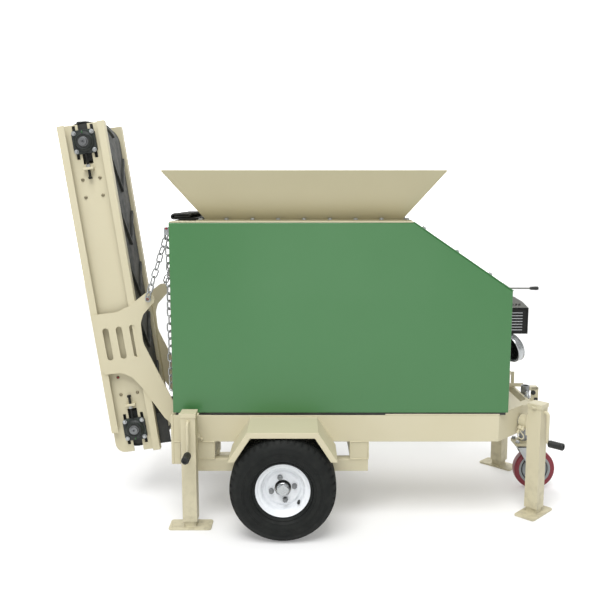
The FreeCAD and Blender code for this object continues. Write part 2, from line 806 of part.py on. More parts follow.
def engine_shroud():
    """Round fan shroud on the near side of the crankcase."""
    depth = "-engine_half_width-shroud_near_y"
    rim = cone("shroud_radius*0.86", "shroud_radius", f"{depth}",
               ("shroud_x", "shroud_near_y", "shroud_z"), "Y")
    hollow = cylinder("shroud_radius*0.7", "12", ("shroud_x", "shroud_near_y-1", "shroud_z"), "Y")
    boss = cylinder("shroud_radius*0.3", "12", ("shroud_x", "shroud_near_y", "shroud_z"), "Y")
    return fuse(cut(rim, hollow), boss)


keep("crusher_housing", crusher_housing())
keep("jaw_plates", jaw_plates())
keep("discharge_chute", discharge_chute())
keep("discharge_flap", discharge_flap())
keep("engine_block", engine_block())
keep("engine_guard", engine_guard())
keep("engine_cover", engine_cover())
keep("engine_shroud", engine_shroud())

# ---------------------------------------------------------------- wheels


def turned_about_y(body, y, side):
    """Lay a turned piece on its side and move it to a wheel's centre."""
    body.Placement = FreeCAD.Placement(Vector(), FreeCAD.Rotation(AXES["X"], 90 * side))
    return place(body, "axle_x", y, "axle_z")


def tyre():
    """Rounded tyre section, seated on the rim and turned about the wheel's axis."""
    half, out, gap = "tyre_width/2", "tyre_radius", "seat_gap"
    side = [
        (f"rim_seat_radius+{gap}", f"rim_half-rim_wall-{gap}"),
        (f"rim_flange_radius+{gap}", f"rim_half+rim_flare-rim_wall-{gap}"),
        (f"rim_flange_radius+{gap}+3", "rim_half+rim_flare+3"),
        ("rim_flange_radius+18", f"{half}-6"), (f"{out}-60", half),
        (f"{out}-tyre_rounding", f"{half}-8"), (f"{out}-10", f"{half}-24"), (out, f"{half}-52"),
    ]
    other = [(radius, f"-({z})") for radius, z in side]
    return ring("XZ", other + side[::-1])


def wheel_rim():
    """Pressed steel rim with its disc, and the hub that runs on the spindle."""
    half, wall, flare = "rim_half", "rim_wall", "rim_flare"
    bore = "spindle_radius+spindle_gap"
    disc = "disc_inset"
    points = [
        (bore, f"{disc}-50"), ("hub_radius", f"{disc}-50"), ("hub_radius", disc),
        (f"rim_seat_radius-{wall}", disc), (f"rim_seat_radius-{wall}", f"-{half}"),
        ("rim_flange_radius", f"-{half}-{flare}"), ("rim_flange_radius", f"-{half}-{flare}+{wall}"),
        ("rim_seat_radius", f"-{half}+{wall}"), ("rim_seat_radius", f"{half}-{wall}"),
        ("rim_flange_radius", f"{half}+{flare}-{wall}"), ("rim_flange_radius", f"{half}+{flare}"),
        (f"rim_seat_radius-{wall}", half), (f"rim_seat_radius-{wall}", f"{disc}+8"),
        ("hub_radius", f"{disc}+8"), ("hub_radius-3", f"{disc}+14"), ("hub_cap_radius", f"{disc}+14"),
        ("hub_cap_radius", f"{disc}+hub_cap_length"), ("0", f"{disc}+hub_cap_length"),
        ("0", f"{disc}+hub_cap_length-4"), (bore, f"{disc}+hub_cap_length-4"),
    ]
    return ring("XZ", points)


for side_name, sign in (("right", -1), ("left", 1)):
    keep(f"tyre_{side_name}", turned_about_y(tyre(), f"{sign}*{HALF_TRACK}", -sign))
    keep(f"wheel_rim_{side_name}", turned_about_y(wheel_rim(), f"{sign}*{HALF_TRACK}", -sign))

# ---------------------------------------------------------------- conveyor


CHAIN_Y = "(channel_half+arm_sheet+chain_standoff)"


def on_conveyor(thing):
    """Put a piece, made round the tail shaft, in the folded conveyor's place."""
    return place(thing, "tail_x", "0", "tail_z", "Y", "conveyor_lean")


def channel():
    """Conveyor side: a web with lips turned outwards and back over it, notched for the shafts."""
    half, out, web = "channel_width/2", "channel_half", "channel_web"
    low, high = "-tail_overrun", "shaft_centres+head_overrun"
    inner = "channel_half-channel_depth"
    web_plate = box((f"-{half}", half), (f"-{out}+channel_depth-{web}", f"-({inner})"), (low, high))
    lips = [box(x, (f"-{out}", f"-({inner})"), (z, high)) for x, z in (
        ((f"-{half}", f"-{half}+channel_lip"), f"{low}+flange_cutback"),
        ((f"{half}-channel_lip", half), low))]
    lips += [box(x, (f"-{out}", f"-{out}+channel_lip"), (z, high)) for x, z in (
        ((f"-{half}", f"-{half}+channel_return"), f"{low}+flange_cutback"),
        ((f"{half}-channel_return", half), low))]
    notches = [box(("-notch_width/2", "notch_width/2"), (f"-({inner})-{web}-1", f"-({inner})+1"), z)
               for z in ((f"{low}-1", "notch_reach"), ("shaft_centres-notch_reach", f"{high}+1"))]
    slots = [box((f"{x}-bolt_slot/2", f"{x}+bolt_slot/2"), (f"-({inner})-{web}-1", f"-({inner})+1"),
                 (f"{z}-bolt_slot_end", f"{z}+bolt_slot_end"))
             for x in ("-bolt_pitch/2", "bolt_pitch/2") for z in ("0", "shaft_centres")]
    return cut(fuse(rounded(web_plate, "web_corner", rear_foot), *lips), *notches, *slots)


def rear_foot(edge):
    """Is this edge the lower rear corner of a web?"""
    return along(edge, "Y") and edge.BoundBox.XMax < 0 and edge.BoundBox.ZMax < 0


def pulley_at(z):
    """Drum with its shaft, centred on the belt."""
    inner = "channel_half+8"
    drum = cylinder("pulley_radius", "2*pulley_half", ("0", "-pulley_half", z), "Y")
    shaft = cylinder("shaft_radius", f"2*({inner})", ("0", f"-({inner})", z), "Y")
    return fuse(drum, shaft)


def belt():
    """Closed belt loop round both pulleys, with cleats bent in the middle."""
    outer_r = "pulley_radius+belt_gap+belt_thickness"
    inner_r = "pulley_radius+belt_gap"

    def loop(radius, half):
        straight = box((f"-({radius})", radius), (f"-({half})", half), ("0", "shaft_centres"))
        ends = [cylinder(radius, f"2*({half})", ("0", f"-({half})", z), "Y") for z in ("0", "shaft_centres")]
        return fuse(straight, *ends)

    band = cut(loop(outer_r, "belt_half"), loop(inner_r, "belt_half+1"))
    cleats = []
    for side in (1, -1):
        for index in range(5):
            tip = f"cleat_start+{index}*cleat_pitch"
            tail = f"{tip}+cleat_rise"
            low = outer_r if side > 0 else f"-({outer_r})-cleat_height"
            start = f"{low}-1" if side > 0 else f"{low}"
            points = [("0", tip), ("cleat_reach", tail), ("cleat_reach", f"{tail}+cleat_width"),
                      ("0", f"{tip}+cleat_width"), ("-cleat_reach", f"{tail}+cleat_width"),
                      ("-cleat_reach", tail)]
            cleats.append(plate("YZ", points, "cleat_height+1", start))
    return fuse(band, *cleats)


def bearings():
    """Four square flange bearings on the outside of the webs, with their take-up blocks."""
    half, face = "bearing_side/2", "channel_half-channel_depth"
    units = []
    for z in ("0", "shaft_centres"):
        pad = box((f"-{half}", half), (f"-({face})-5-14", f"-({face})-5"), (f"{z}-{half}", f"{z}+{half}"))
        nose = cylinder("34", "bearing_depth", ("0", f"-({face})-5-bearing_depth", z), "Y")
        bore = cylinder("shaft_radius+pin_gap", "bearing_depth+2", ("0", f"-({face})-6-bearing_depth", z), "Y")
        units.append(cut(fuse(rounded(pad, "18", lambda e: along(e, "Y")), nose), bore))
    return together(*units, *[mirrored(unit) for unit in units])


def takeups():
    """Bracket, screw and nut that push each bearing along its notch."""
    face = "channel_half-channel_depth"
    half = "bearing_side/2"
    units = []
    for z, way in (("0", 1), ("shaft_centres", -1)):
        start = f"{z}+{way}*takeup_reach"
        bracket = box(("-takeup_half", "takeup_half"), (f"-({face})-5-26", f"-({face})-5"),
                      (f"{start}-7", f"{start}+7"))
        screw_low = f"{z}+{half}" if way > 0 else f"{start}-50"
        length = f"({start}+50)-({z}+{half})" if way > 0 else f"({z}-{half})-({start}-50)"
        screw = cylinder("7", length, ("0", f"-({face})-5-13", screw_low), "Z")
        units.append(fuse(bracket, screw))
    return together(*units, *[mirrored(unit) for unit in units])


def conveyor_bed():
    """Slider bed between the belt's two runs, joined to both webs by cross tubes."""
    half = "channel_half-channel_depth"
    inner = f"({half})"
    bed = box(("-30", "30"), ("-belt_half", "belt_half"), ("pulley_radius+60", "shaft_centres-pulley_radius-60"))
    tubes = [cylinder("14", f"2*{inner}", ("0", f"-{inner}", z), "Y")
             for z in ("pulley_radius+100", "shaft_centres/2", "shaft_centres-pulley_radius-100")]
    return fuse(bed, *tubes)


def arm_corners():
    """Corners of an arm from its ear to its hinge boss, each with the radius it is cut to."""
    def near_ear(x, z, radius="0"):
        return f"ear_x+({x})", f"ear_z+({z})", radius

    def near_pivot(x, z, radius="0"):
        return f"pivot_x+({x})", f"pivot_z+({z})", radius

    return [
        near_ear(-267, -77, "6"), near_ear(-150, -63, "90"), near_ear(-92, -34, "60"),
        near_ear(-20, 22), near_ear(22, -20), near_ear(-26, -74, "30"), near_ear(-38, -115, "60"),
        near_ear(-30, -207, "120"), near_pivot("arm_boss*0.8", "arm_boss*0.6"),
        near_pivot("-arm_boss*0.6", "-arm_boss*0.8"), near_pivot(-51, 4, "60"),
        near_pivot(-150, 147, "80"), near_pivot(-200, 203, "50"), near_pivot(-251, 224, "60"),
        near_pivot(-328, 215, "8"), near_pivot(-340, 229, "8"),
    ]


def arms():
    """Plates outside the channels that carry the conveyor on its hinge."""
    start = "-channel_half-arm_sheet"
    corners = arm_corners()
    blank = plate("XZ", [corner[:2] for corner in corners], "arm_sheet", start)
    blank = rounded_corners(blank, [corner for corner in corners if corner[2] != "0"])
    ear = cylinder("ear_radius", "arm_sheet", ("ear_x", start, "ear_z"), "Y")
    boss = cylinder("arm_boss", "arm_sheet", ("pivot_x", start, "pivot_z"), "Y")
    bolt_end = f"{CHAIN_Y}-chain_radius-seat_gap"
    bolt = cylinder("ear_bolt", f"{bolt_end}-channel_half", ("ear_x", f"-({bolt_end})", "ear_z"), "Y")
    holes = [cylinder("pivot_radius+pin_gap", "arm_sheet+2", ("pivot_x", f"{start}-1", "pivot_z"), "Y")]
    for index in range(3):
        radius, run = "slot_width/2", "slot_length-slot_width"
        y = ("0", "arm_sheet+2")
        slot = fuse(box((f"-{radius}", radius), y, ("0", run)),
                    cylinder(radius, y[1], ("0", "0", "0"), "Y"),
                    cylinder(radius, y[1], ("0", "0", run), "Y"))
        holes.append(place(slot, f"ear_x-186+{index}*slot_pitch", f"{start}-1",
                           f"ear_z-279+{index}*8.5", "Y", "conveyor_lean-0.5"))
    return both(fuse(cut(fuse(blank, ear, boss), *holes), bolt))


def tail_skirt():
    """Rubber skirts along the loading end of the conveyor."""
    half = "channel_width/2"
    inner = "channel_half-channel_depth"
    skirt = box((f"{half}+0.3", f"{half}+52"), (f"-({inner})-8", f"-({inner})"), ("-90", "60"))
    sill = box((f"{half}+0.3", f"{half}+8"), (f"-({inner})", inner), ("-90", "-78"))
    return fuse(skirt, mirrored(skirt), sill)


keep("conveyor_channels", on_conveyor(both(channel())))
keep("conveyor_arms", arms())
keep("conveyor_bed", on_conveyor(conveyor_bed()))
keep("conveyor_belt", on_conveyor(belt()))
keep("flange_bearings", on_conveyor(bearings()))
keep("takeup_screws", on_conveyor(takeups()))
keep("tail_skirt", on_conveyor(tail_skirt()))
keep("tail_pulley", on_conveyor(pulley_at("0")))
keep("head_pulley", on_conveyor(pulley_at("shaft_centres")))


def hold_chains():
    """Each chain as a round bar: taut from the arm's ear to the anchor, then hanging slack."""
    rise, run = "chain_anchor_z-ear_z", "chain_anchor_x-ear_x"
    reach = f"sqrt(({rise})*({rise})+({run})*({run}))"
    taut = cylinder("chain_radius", reach, ("0", "0", "0"), "Z")
    taut = place(taut, "ear_x", f"-{CHAIN_Y}", "ear_z", "Y", f"atan(({run})/({rise}))")
    slack = cylinder("chain_radius", "chain_anchor_z-chain_tail_z",
                     ("chain_anchor_x", f"-{CHAIN_Y}", "chain_tail_z"))
    knot = doc.addObject("Part::Sphere", "Knot")
    bind(knot, Radius="chain_knot")
    place(knot, "chain_anchor_x", f"-{CHAIN_Y}", "chain_anchor_z")
    return both(fuse(taut, slack, knot))


def chain_anchors():
    """Flat bars on the crusher's rear wall, each with the pin that a chain hangs from."""
    arm = box(("chain_anchor_x-14", "crusher_rear_x"), (f"-{CHAIN_Y}-22", f"-{CHAIN_Y}-14"),
              ("chain_anchor_z-18", "chain_anchor_z+18"))
    pin = cylinder("chain_pin", "52", ("chain_anchor_x", f"-{CHAIN_Y}-36",
                                       "chain_anchor_z+chain_knot+chain_pin+seat_gap"), "Y")
    return both(fuse(arm, pin))


keep("hold_chains", hold_chains())
keep("chain_anchors", chain_anchors())

# ---------------------------------------------------------------- jacks


def jack_tube(reach, pin_side):
    """Outer square tube with its cap, and the collar that turns on the frame's stub."""
    half, wall = "jack_tube/2", "jack_wall"
    top, low = "jack_top", "jack_tube_end-jack_pivot_z"
    outer = box((f"-{half}", half), (f"-{half}", half), (low, top))
    hollow = box((f"-{half}+{wall}", f"{half}-{wall}"), (f"-{half}+{wall}", f"{half}-{wall}"),
                 (f"{low}-1", f"{top}-{wall}"))
    cap = box((f"-{half}-3", f"{half}+3"), (f"-{half}-3", f"{half}+3"), (f"{top}-20", top))
    cap_hollow = box((f"-{half}+{wall}", f"{half}-{wall}"), (f"-{half}+{wall}", f"{half}-{wall}"),
                     (f"{top}-30", f"{top}-{wall}"))
    length = f"({reach})-{half}-jack_collar_gap"
    collar = cylinder("jack_pipe_radius", length, ("0", half, "0"), "Y")
    bore = cylinder("jack_stub_radius+pin_gap", f"({reach})-{half}", ("0", f"{half}+1", "0"), "Y")
    pin = cylinder("8", "24", ("0", f"{half}+({length})/2", "jack_stub_radius+pin_gap+1"))
    pin = place(pin, f"{pin_side}*0.7*(jack_stub_radius+pin_gap+1)", f"{half}+({length})/2",
                "-0.7*(jack_stub_radius+pin_gap+1)", "Y", f"{pin_side}*135")
    crank_hole = cylinder("6.4", f"{half}+2", ("0", f"-{half}-1", "crank_drop"), "Y")
    return cut(fuse(cut(outer, hollow), cut(cap, cap_hollow), cut(fuse(collar, pin), bore)), crank_hole)


def jack_stub(reach):
    """Round stub, welded to the rail, that the jack's collar turns on."""
    half = "jack_tube/2"
    return together(cylinder("jack_stub_radius", f"({reach})-{half}-2", ("0", f"{half}+2", "0"), "Y"))


def jack_leg():
    """Inner leg with its foot plate."""
    half = "(jack_tube/2-jack_wall-jack_leg_gap)"
    low = "-jack_pivot_z"
    leg = box((f"-{half}", half), (f"-{half}", half), (f"{low}+foot_sheet", f"{low}+foot_sheet+330"))
    pad = box(("-foot_length/2", "foot_length/2"), ("-foot_width/2", "foot_width/2"),
              (low, f"{low}+foot_sheet"))
    return fuse(leg, rounded(pad, "14", lambda e: along(e, "Z")))


def jack_crank():
    """Shaft, bent arm and grip."""
    half, bar = "jack_tube/2", "crank_radius"
    shaft = cylinder("6.1", "30", ("0", f"-{half}-12", "crank_drop"), "Y")
    arm = box((f"-{bar}", bar), (f"-{half}-12-14", f"-{half}-12"),
              (f"crank_drop-crank_arm-{bar}", "crank_drop+12"))
    rod = cylinder("7", "grip_length+16", ("0", f"-{half}-24-grip_length-4", "crank_drop-crank_arm"), "Y")
    grip = cylinder("grip_radius", "grip_length", ("0", f"-{half}-28-grip_length", "crank_drop-crank_arm"), "Y")
    return fuse(shaft, arm, rod, grip)


FRONT_OFF = "(front_jack_reach+seat_gap)"
JACKS = {
    "rear": ("rear_jack_x", "-chassis_half-rear_jack_reach", 0, "rear_jack_reach", 1),
    "front": (f"rail_front_x+(front_jack_along+{FRONT_OFF})*cos(45)",
              f"-chassis_half+(front_jack_along-{FRONT_OFF})*cos(45)", 45, "front_jack_reach", -1),
}
stubs = []
for end, (x, y, turn, reach, pin_side) in JACKS.items():
    pieces = {"tube": jack_tube(reach, pin_side), "leg": jack_leg(), "crank": jack_crank()}
    for piece, made in pieces.items():
        made = place(made, x, y, "jack_pivot_z", "Z", turn)
        keep(f"jack_{piece}_{end}_right", made)
        keep(f"jack_{piece}_{end}_left", mirrored(made))
    stubs.append(both(place(jack_stub(reach), x, y, "jack_pivot_z", "Z", turn)))
keep("jack_stubs", together(*stubs))

# ---------------------------------------------------------------- caster and lever


def caster_stem():
    """Pipe through the nose sleeve, with the plate that the caster is bolted to."""
    pipe = cylinder("stem_radius", "stem_top-stem_plate_z", ("stem_x", "0", "stem_plate_z"))
    hollow = cylinder("stem_radius-stem_wall", "stem_top-stem_plate_z", ("stem_x", "0", "stem_plate_z+20"))
    hole = cylinder("6", "60", ("stem_x", "-30", "stem_top-28"), "Y")
    half = "stem_plate_side/2"
    pad = box((f"stem_x-{half}", f"stem_x+{half}"), (f"-{half}", half),
              ("stem_plate_z-stem_plate", "stem_plate_z"))
    return fuse(cut(pipe, hollow, hole), rounded(pad, "10", lambda e: along(e, "Z")))


def caster_fork():
    """Swivel race and two fork legs that lean back to the caster's axle."""
    top = "stem_plate_z-stem_plate-0.5"
    race = cylinder("32", "12", ("stem_x", "0", f"{top}-12"))
    gap = "caster_width/2+fork_gap"
    crown = box(("stem_x-34", "stem_x+34"), (f"-({gap})-fork_sheet", f"{gap}+fork_sheet"),
                (f"{top}-12-fork_sheet", f"{top}-12"))
    points = [("stem_x-34", f"{top}-12"), ("stem_x+34", f"{top}-12"),
              ("stem_x+caster_trail+18", "caster_radius"), ("stem_x+caster_trail-14", "caster_radius-16")]
    legs = [plate("XZ", points, "fork_sheet", start) for start in (f"-({gap})-fork_sheet", gap)]
    axle_ = cylinder("8", f"2*({gap}+fork_sheet+8)",
                     ("stem_x+caster_trail", f"-({gap})-fork_sheet-8", "caster_radius"), "Y")
    return fuse(race, crown, *legs, axle_)


def caster_wheel():
    """Tread on a grey core, bored for its axle."""
    half = "caster_width/2"
    at = ("stem_x+caster_trail", f"-{half}", "caster_radius")
    tread = cylinder("caster_radius", "caster_width", at, "Y")
    bore = cylinder("8+pin_gap", "caster_width+6", (at[0], f"-{half}-3", at[2]), "Y")
    dish = [cylinder("caster_core-12", "9", (at[0], y, at[2]), "Y") for y in (f"-{half}-1", f"{half}-8")]
    boss = cylinder("22", "caster_width+4", (at[0], f"-{half}-2", at[2]), "Y")
    return cut(fuse(cut(tread, *dish), boss), bore)


def lever_bracket():
    """Block on the engine's cover with the upright pin that the lever turns on."""
    top = "guard_top+52"
    block = box(("lever_x-22", "lever_x+22"), ("lever_y-22", "lever_y+22"), (top, "lever_z-lever_hub/2-5"))
    pin = cylinder("6", "lever_hub+14", ("lever_x", "lever_y", "lever_z-lever_hub/2-6"))
    return fuse(block, pin)


def control_lever():
    """Thin rod with a grip, on a hub that turns on the upright pin."""
    rod = cylinder("4", "lever_end_x-lever_x-28", ("lever_x+8", "lever_y", "lever_z"), "X")
    grip = cylinder("9", "50", ("lever_end_x-50", "lever_y", "lever_z"), "X")
    hub = cylinder("12", "lever_hub", ("lever_x", "lever_y", "lever_z-lever_hub/2"))
    bore = cylinder("6+pin_gap", "lever_hub+2", ("lever_x", "lever_y", "lever_z-lever_hub/2-1"))
    return cut(fuse(rod, grip, hub), bore)


keep("caster_stem", caster_stem())
keep("caster_fork", caster_fork())
keep("caster_wheel", caster_wheel())
keep("lever_bracket", lever_bracket())
keep("control_lever", control_lever())

# ---------------------------------------------------------------- checks and files

doc.recompute()
failed = [thing for thing in doc.Objects if "Invalid" in thing.State or "Error" in thing.State]
if failed:
    lines = [f"{thing.Name} ({thing.Label}): {thing.getStatusString()}, {thing.ExpressionEngine}"
             for thing in failed]
    raise RuntimeError("\n".join(["these objects failed:"] + lines))
for name, thing in nodes.items():
    if thing.Shape.isNull() or not thing.Shape.isValid():
        raise RuntimeError(f"{name} has no valid shape")

os.makedirs("parts", exist_ok=True)
for name, thing in nodes.items():
    thing.Shape.exportStep(f"parts/{name}.step")
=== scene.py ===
"""Looks of a portable jaw crusher on a two-wheel chassis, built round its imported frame.

The frame brings the machine's plates, rails and tubes.  This file eases their edges, gives
every surface its finish, and models what the frame only stands in for: chain links, tyres,
rims, the belt with its cleats, bearings, fasteners, the engine's castings and the jaws.
Lengths are in metres; the nose points to +X and the "right" side is -Y.
"""
from __future__ import annotations

import json
import logging
import math
from contextlib import contextmanager
from dataclasses import dataclass
from enum import Enum
from typing import Any, Callable, Iterator, Sequence

import bmesh
import bpy
from mathutils import Matrix, Vector

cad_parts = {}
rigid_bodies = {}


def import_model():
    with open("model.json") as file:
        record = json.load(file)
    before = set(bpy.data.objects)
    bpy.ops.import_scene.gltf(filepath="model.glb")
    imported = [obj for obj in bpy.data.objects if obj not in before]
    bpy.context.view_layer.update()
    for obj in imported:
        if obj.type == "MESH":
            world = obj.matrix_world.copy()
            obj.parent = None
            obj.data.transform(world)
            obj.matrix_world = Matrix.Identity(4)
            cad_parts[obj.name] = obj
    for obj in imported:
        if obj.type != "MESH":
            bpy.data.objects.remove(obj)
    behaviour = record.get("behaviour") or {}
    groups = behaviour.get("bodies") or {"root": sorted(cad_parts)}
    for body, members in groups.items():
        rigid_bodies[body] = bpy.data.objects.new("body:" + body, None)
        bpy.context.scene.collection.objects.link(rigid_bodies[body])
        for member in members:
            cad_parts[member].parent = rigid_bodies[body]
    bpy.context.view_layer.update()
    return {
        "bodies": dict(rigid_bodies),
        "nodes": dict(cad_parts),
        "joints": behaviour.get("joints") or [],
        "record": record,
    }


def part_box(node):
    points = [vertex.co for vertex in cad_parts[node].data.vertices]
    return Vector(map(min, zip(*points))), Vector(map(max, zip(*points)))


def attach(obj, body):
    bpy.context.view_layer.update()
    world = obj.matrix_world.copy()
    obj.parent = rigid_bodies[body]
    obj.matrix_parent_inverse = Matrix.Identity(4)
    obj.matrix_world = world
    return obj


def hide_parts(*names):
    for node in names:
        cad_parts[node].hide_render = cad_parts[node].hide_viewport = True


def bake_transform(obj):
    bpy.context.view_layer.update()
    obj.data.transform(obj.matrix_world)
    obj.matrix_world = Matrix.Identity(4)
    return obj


log = logging.getLogger("jaw_crusher")

Point = Sequence[float]
Test = Callable[[Vector, Vector], bool]
Piece = bpy.types.Object

MERGE = 1e-5
EASED_ANGLE = math.radians(35)
SMOOTH_ANGLE = math.radians(50)
FLAT_ANGLE = math.radians(0.6)
FULL_TURN = 2 * math.pi
WELD_STEP = 0.005
MIRROR = Matrix.Scale(-1, 4, (0, 1, 0))
OUT_RIGHT = Matrix.Rotation(math.radians(90), 4, "X")
FRAME: dict[str, Any] = {}


class Side(Enum):
    """The two sides of the machine, as the sign of Y."""

    LEFT = 1
    RIGHT = -1

    @property
    def label(self) -> str:
        """The side's name as the frame writes it."""
        return self.name.lower()


class End(Enum):
    """The two ends of the machine, as the sign of X."""

    REAR = -1
    FRONT = 1

    @property
    def label(self) -> str:
        """The end's name as the frame writes it."""
        return self.name.lower()


# ---------------------------------------------------------------- shading


def linear(code: str) -> tuple[float, float, float, float]:
    """Turn an sRGB hex colour to linear.

    Args:
        code: The colour as "#rrggbb".

    Returns:
        Its linear red, green, blue and an alpha of 1.
    """
    parts = [int(code[start:start + 2], 16) / 255 for start in (1, 3, 5)]
    red, green, blue = [p / 12.92 if p <= 0.04045 else ((p + 0.055) / 1.055) ** 2.4 for p in parts]
    return red, green, blue, 1.0


def add_node(tree: bpy.types.NodeTree, kind: str, inputs: dict[Any, Any] | None = None,
             **settings: Any) -> bpy.types.Node:
    """Add a node with its settings and links.

    Args:
        tree: The node tree.
        kind: The node's type.
        inputs: A value or a source socket for each input, by name or number.
        **settings: The node's own properties.

    Returns:
        The new node.
    """
    node = tree.nodes.new(kind)
    for name, value in settings.items():
        setattr(node, name, value)
    for key, value in (inputs or {}).items():
        if isinstance(value, bpy.types.NodeSocket):
            tree.links.new(value, node.inputs[key])
        else:
            node.inputs[key].default_value = value
    return node


@dataclass(frozen=True)
class Finish:
    """What every finish shares: its name, its slot in the record, and its noise tools.

    Attributes:
        name: The material's name.
        slot: The record's material slot that it belongs to.
        colour: Its main colour, as sRGB hex.
        second: The colour that it drifts to in patches, or in its dust or wear.
        patch: The size of those patches, in metres.
        grain: The size of its surface texture, in metres.
        relief: The height of that texture, in metres.
        roughness: Lowest and highest roughness.
        drift: How much of the second colour shows at most.
        coat: The weight of its clear coat.
        metallic: How metallic it is.
        specular: How strongly its surface mirrors.
        glow: How much it shines by itself.
    """

    name: str
    slot: str
    colour: str
    second: str
    patch: float = 0.3
    grain: float = 0.004
    relief: float = 0.0001
    roughness: tuple[float, float] = (0.3, 0.4)
    drift: float = 0.5
    coat: float = 0.0
    metallic: float = 0.0
    specular: float = 0.5
    glow: float = 0.0

    def noise(self, tree: bpy.types.NodeTree, size: float, detail: float = 3.0,
              stretch: tuple[float, float, float] = (1.0, 1.0, 1.0)) -> bpy.types.NodeSocket:
        """Noise whose blotches are about one size.

        Args:
            tree: The node tree.
            size: The size of a blotch, in metres.
            detail: How many finer layers it has.
            stretch: How close together the blotches lie along each axis.

        Returns:
            The noise, from 0 to 1.
        """
        place = add_node(tree, "ShaderNodeTexCoord")
        scaled = add_node(tree, "ShaderNodeMapping",
                          {"Vector": place.outputs["Object"], "Scale": stretch})
        made = add_node(tree, "ShaderNodeTexNoise",
                        {"Vector": scaled.outputs["Vector"], "Scale": 1 / size, "Detail": detail})
        return made.outputs["Fac"]

    def tint(self, tree: bpy.types.NodeTree) -> bpy.types.NodeSocket:
        """The base colour with its patches.

        Args:
            tree: The node tree.

        Returns:
            The colour.
        """
        amount = add_node(tree, "ShaderNodeMapRange",
                          {"Value": self.noise(tree, self.patch), "From Min": 0.35, "From Max": 0.7,
                           "To Max": self.drift})
        mixed = add_node(tree, "ShaderNodeMix",
                         {0: amount.outputs["Result"], 6: linear(self.colour), 7: linear(self.second)},
                         data_type="RGBA")
        return mixed.outputs[2]

    def relief_normal(self, tree: bpy.types.NodeTree) -> bpy.types.NodeSocket:
        """The surface texture.

        Args:
            tree: The node tree.

        Returns:
            The normal.
        """
        bump = add_node(tree, "ShaderNodeBump",
                        {"Height": self.noise(tree, self.grain), "Distance": self.relief,
                         "Strength": 1.0})
        return bump.outputs["Normal"]

    def build(self) -> bpy.types.Material:
        """Make the material, once.

        Returns:
            The material, new or made before.
        """
        label = f"finish_{self.name}"
        made = bpy.data.materials.get(label)
        if made:
            return made
        made = bpy.data.materials.new(label)
        made.use_nodes = True
        tree = made.node_tree
        shader = tree.nodes["Principled BSDF"]
        smoothest, roughest = self.roughness
        rough = add_node(tree, "ShaderNodeMapRange",
                         {"Value": self.noise(tree, self.patch * 0.4), "From Min": 0.3, "From Max": 0.7,
                          "To Min": smoothest, "To Max": roughest})
        tree.links.new(self.tint(tree), shader.inputs["Base Color"])
        tree.links.new(rough.outputs["Result"], shader.inputs["Roughness"])
        tree.links.new(self.relief_normal(tree), shader.inputs["Normal"])
        shader.inputs["Metallic"].default_value = self.metallic
        shader.inputs["Coat Weight"].default_value = self.coat
        shader.inputs["Coat Roughness"].default_value = 0.12
        shader.inputs["Specular IOR Level"].default_value = self.specular
        shader.inputs["Emission Color"].default_value = linear(self.colour)
        shader.inputs["Emission Strength"].default_value = self.glow
        return made


@dataclass(frozen=True)
class Enamel(Finish):
    """Sprayed two-part enamel on sheet steel: a soft gloss over faint orange peel.

    Attributes:
        grime: The darker colour that spots turn to low down.
        grime_top: The height that the spots thin out at, in metres, or 0 for none.
        grime_patch: The size of a spot, in metres.
        grime_most: How much of the spot colour shows at most.
    """

    grime: str = "#8f8870"
    grime_top: float = 0.0
    grime_patch: float = 0.03
    grime_most: float = 0.55

    def tint(self, tree: bpy.types.NodeTree) -> bpy.types.NodeSocket:
        """Enamel colour, a shade deeper in patches, with darker spots towards the ground.

        Args:
            tree: The node tree.

        Returns:
            The colour.
        """
        colour = super().tint(tree)
        if not self.grime_top:
            return colour
        place = add_node(tree, "ShaderNodeTexCoord")
        split = add_node(tree, "ShaderNodeSeparateXYZ", {0: place.outputs["Object"]})
        low = add_node(tree, "ShaderNodeMapRange",
                       {"Value": split.outputs["Z"], "From Max": self.grime_top, "To Min": 1.0,
                        "To Max": 0.0})
        spots = add_node(tree, "ShaderNodeMapRange",
                         {"Value": self.noise(tree, self.grime_patch, 6.0), "From Min": 0.45,
                          "From Max": 0.75, "To Max": self.grime_most})
        amount = add_node(tree, "ShaderNodeMath",
                          {0: low.outputs["Result"], 1: spots.outputs["Result"]}, operation="MULTIPLY")
        mixed = add_node(tree, "ShaderNodeMix",
                         {0: amount.outputs[0], 6: colour, 7: linear(self.grime)}, data_type="RGBA")
        return mixed.outputs[2]


@dataclass(frozen=True)
class Rubber(Finish):
    """Vulcanised black rubber: no gloss, and grey dust where it has been handled or run.

    Attributes:
        scuff: The stretch of the dust along each axis.
    """

    scuff: tuple[float, float, float] = (1.0, 1.0, 1.0)

    def tint(self, tree: bpy.types.NodeTree) -> bpy.types.NodeSocket:
        """Black with dusty streaks.

        Args:
            tree: The node tree.

        Returns:
            The colour.
        """
        streaks = self.noise(tree, self.patch, 8.0, self.scuff)
        amount = add_node(tree, "ShaderNodeMapRange",
                          {"Value": streaks, "From Min": 0.4, "From Max": 0.72, "To Max": self.drift})
        mixed = add_node(tree, "ShaderNodeMix",
                         {0: amount.outputs["Result"], 6: linear(self.colour), 7: linear(self.second)},
                         data_type="RGBA")
        return mixed.outputs[2]


